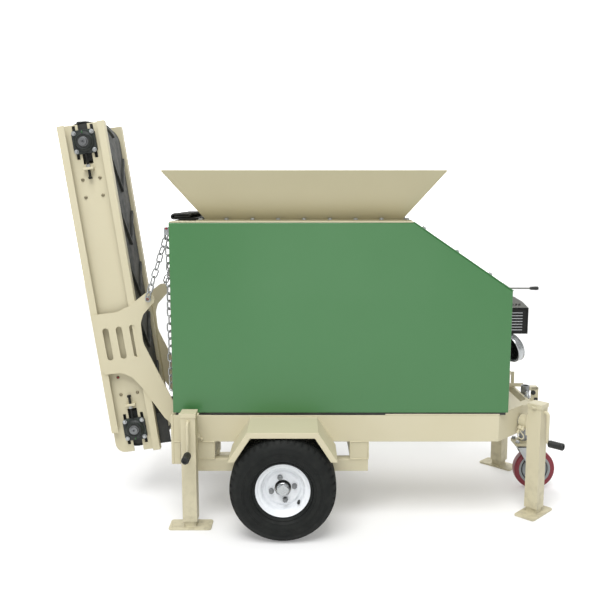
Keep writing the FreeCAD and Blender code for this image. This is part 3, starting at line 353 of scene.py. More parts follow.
@dataclass(frozen=True)
class Plated(Finish):
    """Zinc-plated or polished steel: bright metal with a cloudy, slightly mottled face.

    Attributes:
        metallic: How metallic it is: more than other finishes.
    """

    metallic: float = 0.8

    def relief_normal(self, tree: bpy.types.NodeTree) -> bpy.types.NodeSocket:
        """Crystal spangle as shallow cells.

        Args:
            tree: The node tree.

        Returns:
            The normal.
        """
        place = add_node(tree, "ShaderNodeTexCoord")
        cells = add_node(tree, "ShaderNodeTexVoronoi",
                         {"Vector": place.outputs["Object"], "Scale": 1 / self.grain})
        bump = add_node(tree, "ShaderNodeBump",
                        {"Height": cells.outputs["Distance"], "Distance": self.relief, "Strength": 0.5})
        return bump.outputs["Normal"]


@dataclass(frozen=True)
class Casting(Finish):
    """Sand-cast metal, painted or bare: pebbled skin, and a worn or overspray colour on it.

    Attributes:
        speck: The size of a speck of the second colour, in metres.
    """

    speck: float = 0.004

    def tint(self, tree: bpy.types.NodeTree) -> bpy.types.NodeSocket:
        """Base colour with fine specks of the second colour.

        Args:
            tree: The node tree.

        Returns:
            The colour.
        """
        specks = add_node(tree, "ShaderNodeMapRange",
                          {"Value": self.noise(tree, self.speck, 5.0), "From Min": 0.58,
                           "From Max": 0.66, "To Max": self.drift})
        patches = add_node(tree, "ShaderNodeMapRange",
                           {"Value": self.noise(tree, self.patch), "From Min": 0.54, "From Max": 0.68})
        amount = add_node(tree, "ShaderNodeMath",
                          {0: specks.outputs["Result"], 1: patches.outputs["Result"]},
                          operation="MULTIPLY")
        mixed = add_node(tree, "ShaderNodeMix",
                         {0: amount.outputs[0], 6: linear(self.colour), 7: linear(self.second)},
                         data_type="RGBA")
        return mixed.outputs[2]


# The cream enamel turns darker in spots below 0.3 m, more so towards the ground.
CREAM = Enamel("cream_enamel", "cream_enamel", "#c9c2a7", "#c3bb9c", patch=0.35, grain=0.006,
               relief=0.00006, roughness=(0.42, 0.55), drift=0.45, specular=0.25, grime_top=0.3)
# A darker copy of the cream enamel for the hopper and its welds: painted shade for the hopper's down-facing
# flare.
SHADED_CREAM = Enamel("dusted_cream_enamel", "cream_enamel", "#bcb596", "#b6ae8d", patch=0.5, grain=0.006,
                     relief=0.00006, roughness=(0.5, 0.62), drift=0.5)
GREEN = Enamel("green_enamel", "green_enamel", "#3f7443", "#3b6e3e", patch=0.6, grain=0.007,
               relief=0.00005, roughness=(0.3, 0.4), drift=0.35, coat=0.15)
GREY = Enamel("grey_enamel", "grey_enamel", "#72736e", "#61625d", patch=0.1, roughness=(0.35, 0.5))
WHITE = Enamel("white_enamel", "white_enamel", "#e9ecef", "#dde1e5", patch=0.08,
               roughness=(0.22, 0.34), drift=0.5, coat=0.3)
RED = Enamel("red_enamel", "cream_enamel", "#8e1f2c", "#7a1824", patch=0.02, roughness=(0.3, 0.4))
BLACK_SHEET = Enamel("black_sheet", "black_sheet", "#141514", "#232422", patch=0.05, grain=0.003,
                     relief=0.00012, roughness=(0.38, 0.52), specular=0.3)
TYRE = Rubber("tyre_rubber", "tyre_rubber", "#191b1a", "#292b28", patch=0.05, grain=0.003,
              relief=0.0002, roughness=(0.6, 0.75), drift=0.4, specular=0.2)
BELT = Rubber("belt_rubber", "belt_rubber", "#2f3231", "#5f5e57", patch=0.06, grain=0.0025,
              relief=0.0002, roughness=(0.6, 0.8), drift=0.75, scuff=(1.0, 1.0, 0.15))
CLEAT = Rubber("cleat_rubber", "belt_rubber", "#2b2e2d", "#4e4e49", patch=0.05, grain=0.0025,
               relief=0.0002, roughness=(0.5, 0.7), drift=0.6)
RUBBER = Rubber("black_rubber", "black_rubber", "#222423", "#3d3d39", patch=0.06, grain=0.004,
                relief=0.0003, roughness=(0.55, 0.75), drift=0.6)
GRIP = Rubber("black_grip", "black_grip", "#1a1c1b", "#2a2c29", patch=0.02, grain=0.0015,
              relief=0.0001, roughness=(0.42, 0.55), drift=0.5)
ZINC = Plated("zinc_plate", "zinc_plate", "#b7babb", "#9da0a2", patch=0.03, grain=0.004,
              relief=0.0002, roughness=(0.26, 0.44))
BRIGHT = Plated("bright_steel", "bright_steel", "#bcbfc0", "#a7aaac", patch=0.03, grain=0.02,
                relief=0.00001, roughness=(0.16, 0.3))
MACHINED = Plated("machined_steel", "bright_steel", "#8b8d8e", "#757778", patch=0.02, grain=0.004,
                  relief=0.0001, roughness=(0.28, 0.42))
YELLOW_ZINC = Plated("yellow_zinc", "zinc_plate", "#938b74", "#777060", patch=0.02, grain=0.003,
                     relief=0.0002, roughness=(0.3, 0.45))
DARK_STEEL = Plated("dark_steel", "zinc_plate", "#5d5d59", "#3f3f3c", patch=0.02, grain=0.003,
                    relief=0.0002, roughness=(0.35, 0.55))
IRON = Casting("bearing_iron", "bearing_iron", "#232826", "#468a5c", patch=0.03, grain=0.003,
               relief=0.0004, roughness=(0.45, 0.62), drift=0.5)
JAW_STEEL = Casting("cast_steel", "cast_steel", "#5a564f", "#8d8a84", patch=0.09, grain=0.006,
                    relief=0.0008, roughness=(0.4, 0.6), drift=0.8, metallic=0.75)
ENGINE = Casting("engine_metal", "engine_metal", "#8e9191", "#6f7272", patch=0.08, grain=0.003,
                 relief=0.0004, roughness=(0.42, 0.58), drift=0.6, metallic=0.6)
TREAD = Enamel("caster_tread", "caster_tread", "#7d1c2c", "#6c1524", patch=0.04, grain=0.003,
               relief=0.0001, roughness=(0.32, 0.46), coat=0.1)
CORE = Casting("caster_core", "caster_tread", "#8f9496", "#75797b", patch=0.05, grain=0.004,
               relief=0.0002, roughness=(0.4, 0.55), drift=0.5, metallic=0.35)


# ---------------------------------------------------------------- modelling


def take(piece: Piece) -> Piece:
    """Leave edit mode, deselect everything and make one piece active.

    Args:
        piece: The piece.

    Returns:
        The same piece.
    """
    if bpy.context.mode != "OBJECT":
        bpy.ops.object.mode_set(mode="OBJECT")
    bpy.ops.object.select_all(action="DESELECT")
    piece.select_set(True)
    bpy.context.view_layer.objects.active = piece
    return piece


@contextmanager
def editing(piece: Piece, kind: str = "VERT") -> Iterator[None]:
    """Work on a piece in edit mode, with all of it selected.

    Args:
        piece: The piece.
        kind: What is selected there: "VERT" or "FACE".
    """
    take(piece)
    bpy.ops.object.mode_set(mode="EDIT")
    bpy.ops.mesh.select_mode(type=kind)
    bpy.ops.mesh.select_all(action="SELECT")
    yield
    bpy.ops.object.mode_set(mode="OBJECT")


def pick(piece: Piece, test: Test) -> None:
    """Select the faces that pass a test, in edit mode.

    Args:
        piece: The piece in edit mode.
        test: Says yes or no from a face's middle and its normal.
    """
    bpy.ops.mesh.select_all(action="DESELECT")
    mesh = bmesh.from_edit_mesh(piece.data)
    for face in mesh.faces:
        if test(face.calc_center_median(), face.normal):
            face.select_set(True)
    bmesh.update_edit_mesh(piece.data)


def settled(piece: Piece, place: Matrix | None = None) -> Piece:
    """Put a piece in its place and leave its object at the origin, unturned and unscaled.

    Args:
        piece: The piece.
        place: Where it goes from where it is, or nothing.

    Returns:
        The same piece.
    """
    take(piece)
    if place is not None:
        piece.matrix_world = place @ piece.matrix_world
    bpy.ops.object.transform_apply(location=True, rotation=True, scale=True)
    return piece


def modified(piece: Piece, kind: str, **settings: Any) -> Piece:
    """Add a modifier and apply it.

    Args:
        piece: The piece.
        kind: The modifier's type.
        **settings: Its own properties.

    Returns:
        The same piece.
    """
    take(piece)
    made = piece.modifiers.new(kind.lower(), kind)
    for name, value in settings.items():
        setattr(made, name, value)
    bpy.ops.object.modifier_apply(modifier=made.name)
    return piece


def eased(piece: Piece, width: float = 0.0015) -> Piece:
    """Round a piece's sharp edges and shade it smooth between them.

    Args:
        piece: The piece.
        width: The width of the rounding, or 0 for none.

    Returns:
        The same piece.
    """
    if width:
        modified(piece, "BEVEL", width=width, segments=2, limit_method="ANGLE", angle_limit=EASED_ANGLE,
                 miter_outer="MITER_ARC")
    take(piece)
    bpy.ops.object.shade_smooth_by_angle(angle=SMOOTH_ANGLE)
    return modified(piece, "WEIGHTED_NORMAL", keep_sharp=True, weight=80)


def cleaned(piece: Piece) -> Piece:
    """Merge a piece's doubles and turn its faces outwards.

    Args:
        piece: The piece.

    Returns:
        The same piece.
    """
    with editing(piece):
        bpy.ops.mesh.remove_doubles(threshold=MERGE)
        bpy.ops.mesh.normals_make_consistent(inside=False)
    return piece


def block(low: Point, high: Point, width: float = 0.0015) -> Piece:
    """A box between two corners, its edges eased.

    Args:
        low: Its lowest corner.
        high: Its highest corner.
        width: How much its edges are eased.

    Returns:
        The new piece.
    """
    low_corner, high_corner = Vector(low), Vector(high)
    bpy.ops.mesh.primitive_cube_add(size=1, location=(low_corner + high_corner) / 2,
                                    scale=high_corner - low_corner)
    return eased(settled(bpy.context.object), width)


def aimed(start: Point, end: Point) -> Matrix:
    """The place of something made up from the origin along Z that runs from one point to another."""
    run = Vector(end) - Vector(start)
    return Matrix.Translation(start) @ run.to_track_quat("Z", "Y").to_matrix().to_4x4()


def bar(start: Point, end: Point, radius: float, width: float = 0.001, steps: int = 24) -> Piece:
    """A round bar between two points, its ends eased.

    Args:
        start: The middle of one end.
        end: The middle of the other end.
        radius: Its radius.
        width: How much its ends are eased.
        steps: How many facets it has.

    Returns:
        The new piece.
    """
    length = (Vector(end) - Vector(start)).length
    bpy.ops.mesh.primitive_cylinder_add(vertices=steps, radius=radius, depth=length,
                                        location=(0, 0, length / 2))
    return eased(settled(bpy.context.object, aimed(start, end)), width)


def chain(points: Sequence[Point], name: str = "Chain") -> Piece:
    """A string of edges through points, drawn by extruding one corner again and again.

    Args:
        points: The points.
        name: Its name.

    Returns:
        The new piece.
    """
    bpy.ops.mesh.primitive_plane_add(size=0.001, location=(0, 0, 0))
    piece = bpy.context.object
    piece.name = name
    with editing(piece):
        bpy.ops.mesh.merge(type="CENTER")
        bpy.ops.transform.translate(value=points[0])
        for before, after in zip(points, points[1:]):
            bpy.ops.mesh.extrude_region_move(
                TRANSFORM_OT_translate={"value": Vector(after) - Vector(before)})
    return piece


def turned(profile: Sequence[tuple[float, float]], steps: int = 48, place: Matrix | None = None,
           width: float = 0.0) -> Piece:
    """A lathe-turned piece about the Z axis.

    Args:
        profile: Radius and height of each corner; it closes on the axis or on its first corner.
        steps: How many facets it has.
        place: Where it goes.
        width: How much its edges are eased.

    Returns:
        The new piece.
    """
    piece = chain([(radius, 0, height) for radius, height in profile], "Turned")
    with editing(piece):
        bpy.ops.mesh.spin(steps=steps, angle=FULL_TURN, center=(0, 0, 0), axis=(0, 0, 1))
    cleaned(piece)
    return eased(settled(piece, place) if place is not None else piece, width)


def sheet_metal(points: Sequence[tuple[float, float]], thickness: float, width: float = 0.001,
                place: Matrix | None = None, bend: float = 0.0) -> Piece:
    """A flat plate with an outline, made in the XZ plane from y 0 to its thickness.

    Args:
        points: Corners of the outline as (x, z).
        thickness: How thick it is.
        width: How much its edges are eased.
        place: Where it goes.
        bend: The radius that its corners are cut to.

    Returns:
        The new piece.
    """
    piece = chain([(x, 0, z) for x, z in points], "Plate")
    with editing(piece):
        bpy.ops.mesh.edge_face_add()
        if bend:
            bpy.ops.mesh.bevel(offset=bend, segments=4, affect="VERTICES")
            bpy.ops.mesh.select_all(action="SELECT")
        bpy.ops.mesh.extrude_region_move(TRANSFORM_OT_translate={"value": (0, thickness, 0)})
    cleaned(piece)
    return eased(settled(piece, place) if place is not None else piece, width)


def rod(points: Sequence[Point], radius: float, bend: float = 0.0, sides: int = 4,
        closed: bool = False) -> Piece:
    """A bent round rod through points.

    Args:
        points: The points that its middle line goes through.
        radius: The rod's radius.
        bend: The radius that its corners are bent to.
        sides: Resolution of its section.
        closed: Whether its ends meet.

    Returns:
        The new piece.
    """
    piece = chain(list(points) + ([points[0]] if closed else []), "Rod")
    with editing(piece):
        bpy.ops.mesh.remove_doubles(threshold=MERGE)
        if bend:
            bpy.ops.mesh.select_all(action="SELECT")
            bpy.ops.mesh.bevel(offset=bend, segments=5, affect="VERTICES")
    take(piece)
    bpy.ops.object.convert(target="CURVE")
    made = bpy.context.object
    made.data.bevel_depth = radius
    made.data.bevel_resolution = sides
    made.data.use_fill_caps = True
    bpy.ops.object.convert(target="MESH")
    return eased(cleaned(bpy.context.object), 0)


def copied(master: Piece, place: Matrix, turn_out: bool = False) -> Piece:
    """A copy of a piece with a mesh of its own, in its own place.

    Args:
        master: The piece.
        place: Where the copy goes.
        turn_out: Whether its faces are flipped, as after a mirroring.

    Returns:
        The copy.
    """
    made = bpy.data.objects.new(master.name, master.data.copy())
    bpy.context.scene.collection.objects.link(made)
    settled(made, place)
    if turn_out:
        with editing(made):
            bpy.ops.mesh.flip_normals()
        eased(made, 0)
    return made


def joined(pieces: Sequence[Piece]) -> Piece:
    """Several pieces as one object.

    Args:
        pieces: The pieces; the first one takes up the others.

    Returns:
        The first piece.
    """
    take(pieces[0])
    for piece in pieces:
        piece.select_set(True)
    bpy.ops.object.join()
    return bpy.context.object


def spread(master: Piece, places: Sequence[Matrix]) -> Piece:
    """Copies of a piece, one for each place, as one object; the first one is used up.

    Args:
        master: The piece.
        places: Where each copy goes.

    Returns:
        The copies.
    """
    made = [copied(master, place) for place in places]
    bpy.data.objects.remove(master)
    return joined(made)


def with_mirror(piece: Piece) -> Piece:
    """A piece with its mirror image on the other side of the machine."""
    return joined([piece, copied(piece, MIRROR, turn_out=True)])


def node_copy(node: str) -> Piece:
    """A node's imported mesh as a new, merged mesh.

    Args:
        node: The node's name.

    Returns:
        The new piece.
    """
    piece = bpy.data.objects.new(node, FRAME["nodes"][node].data.copy())
    bpy.context.scene.collection.objects.link(piece)
    piece.data.materials.clear()
    with editing(piece):
        bpy.ops.mesh.remove_doubles(threshold=MERGE)
    return piece


def softened(node: str, width: float, convex: bool = True) -> Piece:
    """A node's shape with its flat faces whole and its sharp edges eased, as ground steel has them.

    Args:
        node: The node's name.
        width: The width of the rounding.
        convex: Whether hollow faces are split, so that none of them closes the hole it goes round.

    Returns:
        The new piece.
    """
    piece = node_copy(node)
    with editing(piece):
        bpy.ops.mesh.dissolve_limited(angle_limit=FLAT_ANGLE)
        if convex:
            bpy.ops.mesh.vert_connect_concave()
    return eased(piece, width)


def dress(node: str, finish: Finish) -> None:
    """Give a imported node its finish.

    Args:
        node: The node's name.
        finish: Its finish.
    """
    piece = FRAME["nodes"][node]
    piece.data.materials.clear()
    piece.data.materials.append(finish.build())


def fit(piece: Piece, name: str, body: str, finish: Finish, *replaced: str) -> Piece:
    """Name a finished piece, dress it and hang it on its body.

    Args:
        piece: The piece.
        name: Its name.
        body: The body that it moves with.
        finish: Its finish.
        *replaced: The nodes that it stands for.

    Returns:
        The same piece.
    """
    piece.name = name
    piece.data.name = name
    piece.data.materials.clear()
    piece.data.materials.append(finish.build())
    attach(piece, body)
    if replaced:
        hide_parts(*replaced)
    log.info("%s on %s: %d faces", name, body, len(piece.data.polygons))
    return piece


def refit(node: str, ending: str, body: str, finish: Finish, width: float,
          convex: bool = True) -> None:
    """Put a softened copy of a node in its place.

    Args:
        node: The node's name.
        ending: What the copy's name adds to it.
        body: The body that it moves with.
        finish: Its finish.
        width: The width of the rounding.
        convex: Whether its hollow faces are split.
    """
    fit(softened(node, width, convex), f"{node}_{ending}", body, finish, node)


def hexagon_bolt(across: float, head: float, washer: float = 0.0) -> Piece:
    """A bolt head with its chamfered hexagon and washer, its face up the Z axis.

    Args:
        across: Width across the corners of the hexagon.
        head: Height of the head.
        washer: Radius of the washer, or 0 for none.

    Returns:
        The new piece, its seat at the origin.
    """
    seat = 0.0022 if washer else 0.0
    radius = across / 2
    bpy.ops.mesh.primitive_cylinder_add(vertices=6, radius=radius, depth=head,
                                        location=(0, 0, seat + head / 2))
    hexagon = settled(bpy.context.object)
    with editing(hexagon, "FACE"):
        pick(hexagon, lambda at, way: way.z > 0.9)
        bpy.ops.mesh.inset(thickness=radius * 0.14, depth=0)
        bpy.ops.transform.translate(value=(0, 0, head * 0.14))
        bpy.ops.mesh.inset(thickness=radius * 0.22, depth=-head * 0.08)
    parts = [eased(hexagon, 0.0004)]
    if washer:
        parts.append(turned([(0, 0), (washer, 0), (washer, seat), (0, seat)], 20, width=0.0005))
    return joined(parts)


def fasteners(master: Piece, points: Sequence[Point], way: Point) -> Piece:
    """Copies of a bolt at some points, their heads all facing one way, each turned a little.

    Args:
        master: The bolt; it is used up.
        points: Where the copies' seats are.
        way: The way that their heads face.

    Returns:
        The copies.
    """
    places = []
    for index, point in enumerate(points):
        end = Vector(point) + Vector(way)
        places.append(aimed(point, end) @ Matrix.Rotation(0.7 * index, 4, "Z"))
    return spread(master, places)


def weld(points: Sequence[Point], radius: float = 0.003) -> Piece:
    """A run of weld: a bead that swells and thins with each step of the torch.

    Args:
        points: The corners of the run.
        radius: The bead's radius.

    Returns:
        The new piece.
    """
    run = [Vector(p) for p in points]
    stations: list[Vector] = []
    for start, end in zip(run, run[1:]):
        count = max(2, round((end - start).length / WELD_STEP))
        stations += [start.lerp(end, step / count) for step in range(count)]
    stations.append(run[-1])
    piece = rod(stations, radius, sides=1)
    with editing(piece):
        bpy.ops.transform.vertex_random(offset=radius * 0.3, uniform=0.2, seed=7)
    return eased(piece, 0)


# ---------------------------------------------------------------- the studio


@dataclass
class Studio:
    """A pale floor and backdrop, soft light all round and the camera.

    Attributes:
        floor_side: The floor's side.
        backdrop: How far behind the machine the white backdrop stands.
        backdrop_height: Its height.
        eye: Where the camera stands.
        tilt: How far it is turned up from straight down, in degrees.
        lens: Its focal length in millimetres.
        shift: Its sideways shift, as a share of the picture's width.
        air: How bright the light from all sides is.
        lamps: Each lamp's name, place, target, side in metres and power in watts.
    """

    floor_side: float = 200.0
    backdrop: float = 9.0
    backdrop_height: float = 14.0
    eye: Point = (-0.078, -3.607, 1.469)
    tilt: float = 82.0
    lens: float = 44.4
    shift: float = -0.005
    air: float = 0.48
    lamps: tuple[tuple[str, Point, Point, float, float], ...] = (
        ("key", (-1.2, -4.9, 9.3), (0, -0.3, 0.5), 6.4, 920),
        ("fill", (0.3, -4.6, 1.4), (0, 0, 0.5), 2.0, 12),
        ("back", (0.4, 2.8, 4.2), (0, 0.3, 0.6), 3.0, 60),
    )

    def floor(self) -> None:
        """Lay the floor and hang the lit backdrop: matt white with a faint unevenness."""
        wide = Matrix.Diagonal((self.floor_side, self.floor_side, 1, 1))
        upright = Matrix.Translation((0, self.backdrop, self.backdrop_height / 2 - 0.01))
        hung = upright @ OUT_RIGHT @ Matrix.Diagonal((self.floor_side, self.backdrop_height, 1, 1))
        sheets = [("studio_floor", "#dddddd", "#dadada", 0.3, wide),
                  ("studio_backdrop", "#f2f2f2", "#efefef", 0.85, hung)]
        for name, colour, second, glow, place in sheets:
            paint = Finish(name, "cream_enamel", colour, second, patch=2.0, grain=0.01,
                           relief=0.00002, roughness=(0.85, 0.95), glow=glow)
            bpy.ops.mesh.primitive_plane_add(size=1.0)
            sheet = bpy.context.object
            sheet.name = name
            sheet.data.transform(place)
            sheet.data.materials.append(paint.build())

    def lamp(self, name: str, place: Point, target: Point, side: float, power: float) -> None:
        """Hang a square soft light and aim it.

        Args:
            name: Its name.
            place: Where it hangs.
            target: What it is aimed at.
            side: Its side, in metres.
            power: Its power, in watts.
        """
        data = bpy.data.lights.new(name, "AREA")
        data.size = side
        data.energy = power
        made = bpy.data.objects.new(name, data)
        bpy.context.scene.collection.objects.link(made)
        way = Vector(target) - Vector(place)
        made.matrix_world = Matrix.Translation(place) @ way.to_track_quat("-Z", "Y").to_matrix().to_4x4()

    def light(self) -> None:
        """Light the scene from all sides, a little more from above and in front."""
        world = bpy.data.worlds.new("studio_air")
        bpy.context.scene.world = world
        world.use_nodes = True
        air = world.node_tree.nodes["Background"]
        air.inputs["Color"].default_value = (1.0, 1.0, 1.0, 1.0)
        air.inputs["Strength"].default_value = self.air
        for lamp in self.lamps:
            self.lamp(*lamp)
        bpy.context.scene.view_settings.view_transform = "Standard"

    def camera(self) -> None:
        """Stand the camera at its eye point."""
        data = bpy.data.cameras.new("camera")
        data.lens = self.lens
        data.sensor_width = 36.0
        data.shift_x = self.shift
        made = bpy.data.objects.new("camera", data)
        bpy.context.scene.collection.objects.link(made)
        made.location = self.eye
        made.rotation_euler = (math.radians(self.tilt), 0, 0)
        bpy.context.scene.camera = made

    def build(self) -> None:
        """Set up the studio."""
        self.floor()
        self.light()
        self.camera()


# ---------------------------------------------------------------- chassis


@dataclass
class Chassis:
    """The welded frame: rails, beams, lower frame, axle, fenders and hinge lugs.

    Attributes:
        plate_edge: Rounding of a flame-cut plate's edge.
        rail_edge: Rounding of a rolled channel's corner.
        half: Half of its width over the rails.
        tube_half: Half of a cross tube's side.
        end_plate: Where the rear end plates stand, along X.
        hinge: Where the conveyor's hinge is, as (x, z).
        body: The body that it is.
    """

    plate_edge: float = 0.0015
    rail_edge: float = 0.004
    half: float = 0.387
    tube_half: float = 0.041
    end_plate: float = -0.6635
    hinge: tuple[float, float] = (-0.688, 0.415)
    body: str = "chassis"

    @property
    def tube_centres(self) -> tuple[float, float]:
        """Where the two cross tubes are, along X."""
        low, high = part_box("cross_tubes")
        return low.x + self.tube_half, high.x - self.tube_half

    def frame_pieces(self) -> None:
        """Ease the edges of the frame's own plates and dress them."""
        edges = {"side_rails": self.rail_edge, "rear_crossmember": 0.002, "front_crossmember": 0.003,
                 "nose_deck": self.plate_edge, "lower_rails": 0.003, "cross_tubes": self.rail_edge,
                 "fenders": 0.0025, "hinge_lugs": self.plate_edge, "axle": 0.003}
        for node, width in edges.items():
            refit(node, "eased", self.body, CREAM, width)
        dress("jack_stubs", BRIGHT)

    def welds(self) -> None:
        """Lay the beads where the plates meet."""
        rail_low, rail_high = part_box("side_rails")
        tube_low, tube_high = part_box("cross_tubes")
        end_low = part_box("rear_crossmember")[0]
        out, near = -self.half - 0.0005, -self.half + 0.0005
        fender_foot, fender_top = 0.372, 0.4835
        runs = [
            [(self.end_plate, near, end_low.z + 0.004), (self.end_plate, near, rail_high.z - 0.004)],
            [(self.end_plate, -self.half, rail_low.z), (-0.61, -self.half + 0.0002, rail_low.z + 0.0005)],
            [(-0.382, out, fender_foot), (-0.315, out, fender_top), (-0.013, out, fender_top),
             (0.054, out, fender_foot)],
        ]
        for centre in self.tube_centres:
            ends = (centre - self.tube_half, centre + self.tube_half)
            runs += [[(ends[0], out, z), (ends[1], out, z)] for z in (tube_low.z, tube_high.z)]
            runs += [[(x, out, tube_low.z), (x, out, tube_high.z)] for x in ends]
        beads = joined([weld(run) for run in runs])
        fit(with_mirror(beads), "frame_welds", self.body, CREAM)

    def tube_ends(self) -> None:
        """Cap the square cross tubes with welded plates, set just inside their edges."""
        low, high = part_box("cross_tubes")
        inset = 0.0065
        reach = self.tube_half - inset
        caps = [block((centre - reach, -self.half + 0.0002, low.z + inset),
                      (centre + reach, -self.half + 0.0035, high.z - inset), 0.001)
                for centre in self.tube_centres]
        fit(with_mirror(joined(caps)), "cross_tube_caps", self.body, CREAM)

    def packers(self) -> None:
        """Add the rubber packers that the panels stand on, and a black strip in the gap under each panel as
        painted shadow.
        """
        top, out, near = 0.5036, -0.380, -0.352
        spots = [(-0.650, -0.485, 0.4932, 0.002), (0.10, 0.26, 0.4992, 0.0015),
                 (0.62, 0.80, 0.4992, 0.0015)]
        pieces = [block((rear, out, base), (front, near, top), edge) for rear, front, base, edge in spots]
        fit(with_mirror(joined(pieces)), "panel_packers", self.body, RUBBER)
        # A black strip just inside the gap between rail and panel: painted shadow in that gap.
        low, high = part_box("side_panel_right")
        seal = block((low.x + 0.17, low.y + 0.003, 0.4940),
                     (high.x - 0.012, low.y + 0.012, low.z + 0.001), 0.001)
        fit(with_mirror(seal), "panel_seal", self.body, RUBBER)

    def hinge_pins(self) -> None:
        """Fit the conveyor's hinge pins."""
        x, z = self.hinge
        profile = [(0, 0), (0.0125, 0), (0.0138, 0.0012), (0.0138, 0.036), (0.0125, 0.0375), (0, 0.0375)]
        pin = turned(profile, 28, aimed((x, -0.1705, z), (x, -1, z)))
        fit(with_mirror(pin), "hinge_pins", self.body, BRIGHT)

    def build(self) -> None:
        """Build the whole chassis."""
        self.frame_pieces()
        self.welds()
        self.tube_ends()
        self.packers()
        self.hinge_pins()


# ---------------------------------------------------------------- panels and hopper


@dataclass
class Bodywork:
    """Sheet panels, covers, hopper and the rubber cover behind it.

    Attributes:
        bolt_across: Width of a panel bolt across its corners.
        bolt_head: Height of its head.
        bolt_washer: Radius of its washer.
        seat: Height of the hopper's flange.
        outlet: Half of the hopper's outlet, along X and Y.
        mouth: Half of the hopper's mouth.
        slope: How steep the sloped cover is, in degrees.
        slope_top: Where the slope begins, as (x, z).
        bolt_line: How far the cover's bolts are from the middle.
        body: The body that it belongs to.
    """

    bolt_across: float = 0.019
    bolt_head: float = 0.006
    bolt_washer: float = 0.011
    seat: float = 1.364
    outlet: tuple[float, float] = (0.4365, 0.290)
    mouth: tuple[float, float] = (0.6015, 0.4485)
    slope: float = 34.2
    slope_top: tuple[float, float] = (0.402, 1.355)
    bolt_line: float = 0.35
    body: str = "chassis"

    def bolt(self) -> Piece:
        """A panel bolt with its washer."""
        return hexagon_bolt(self.bolt_across, self.bolt_head, self.bolt_washer)

    def panels(self) -> None:
        """Dress the pan-folded side panels, their frames and the covers."""
        for node in ("side_panel_right", "side_panel_left"):
            refit(node, "folded", self.body, GREEN, 0.0028)
        refit("panel_frames", "eased", self.body, CREAM, 0.002)
        refit("sloped_cover", "eased", self.body, GREEN, 0.002)
        refit("top_cover", "eased", self.body, CREAM, 0.0015)

    def hopper(self) -> None:
        """Dress the hopper, bolt it down and run the beads up its corners."""
        # The hopper and its welds take the darker copy of the cream: painted shade for the down-facing
        # flare.
        refit("hopper", "folded", self.body, SHADED_CREAM, 0.0015)
        low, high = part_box("hopper")
        centre = (low.x + high.x) / 2
        reach, side = (half + 0.021 for half in self.outlet)
        points = []
        for index in range(9):
            x = centre - reach + 2 * reach * index / 8
            points += [(x, -side, self.seat), (x, side, self.seat)]
        for index in range(1, 5):
            y = -side + 2 * side * index / 5
            points += [(centre - reach, y, self.seat), (centre + reach, y, self.seat)]
        fit(fasteners(self.bolt(), points, (0, 0, 1)), "hopper_bolts", self.body, ZINC)
        runs = []
        for end in (-1, 1):
            for way in (-1, 1):
                base = (centre + end * (self.outlet[0] - 0.0005), way * (self.outlet[1] - 0.0005),
                        self.seat + 0.001)
                rim = (centre + end * self.mouth[0], way * self.mouth[1], high.z - 0.002)
                runs.append(weld([base, rim], 0.0022))
        fit(joined(runs), "hopper_welds", self.body, SHADED_CREAM)

    def panel_bolts(self) -> None:
        """Bolt the sloped cover to the panels."""
        points = []
        slope = math.radians(self.slope)
        x, z = self.slope_top
        for step in (0.06, 0.24, 0.42):
            at = (x + step * math.cos(slope), z - step * math.sin(slope) + 0.0062)
            points += [(at[0], way * self.bolt_line, at[1]) for way in (-1, 1)]
        way = (math.sin(slope), 0, math.cos(slope))
        fit(fasteners(self.bolt(), points, way), "cover_bolts", self.body, ZINC)

    def rubber_cover(self) -> None:
        """Lay the rubber sheet over the rear of the top, waved and folded over in three layers."""
        low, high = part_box("rubber_cover")
        thick = 0.0066
        radius = 0.0098
        left, right = low.x - 0.018, high.x - 0.042
        bottom = low.z + thick
        line = [(high.x, bottom), (left + 2.4 * radius, bottom)]
        turns = 8
        bends = [(left + radius, bottom + radius, -radius, radius, -1),
                 (right, bottom + 1.5 * radius, radius / 2, radius / 2, 1)]
        for x, z, along, up, way in bends:
            for step in range(turns + 1):
                angle = math.radians(way * (90 - 180 * step / turns))
                line.append((x + along * math.cos(angle), z + up * math.sin(angle)))
        line.append((left + 1.4 * radius, bottom + radius))
        cover = chain([(x, low.y + 0.002, z) for x, z in line], "Cover")
        rows = 40
        with editing(cover):
            for _ in range(rows):
                step = (high.y - low.y - 0.004) / rows
                bpy.ops.mesh.extrude_region_move(TRANSFORM_OT_translate={"value": (0, step, 0)})
        cleaned(cover)
        with editing(cover):
            bpy.ops.mesh.subdivide(number_cuts=1)
        for corner in cover.data.vertices:
            free = min(1.0, max(0.0, (high.x - corner.co.x) / 0.06))
            wave = math.sin(corner.co.y * 31) * 0.6 + math.sin(corner.co.y * 67 + 1.3) * 0.4
            corner.co.z += 0.0016 * (1 + wave) * free
            corner.co.x += 0.0015 * math.sin(corner.co.y * 43) * free
        modified(cover, "SOLIDIFY", thickness=thick, offset=0)
        eased(cover, 0.0008)
        fit(cover, "rubber_cover_sheet", self.body, RUBBER, "rubber_cover")

    def build(self) -> None:
        """Build the bodywork."""
        self.panels()
        self.hopper()
        self.panel_bolts()
        self.rubber_cover()


# ---------------------------------------------------------------- crusher


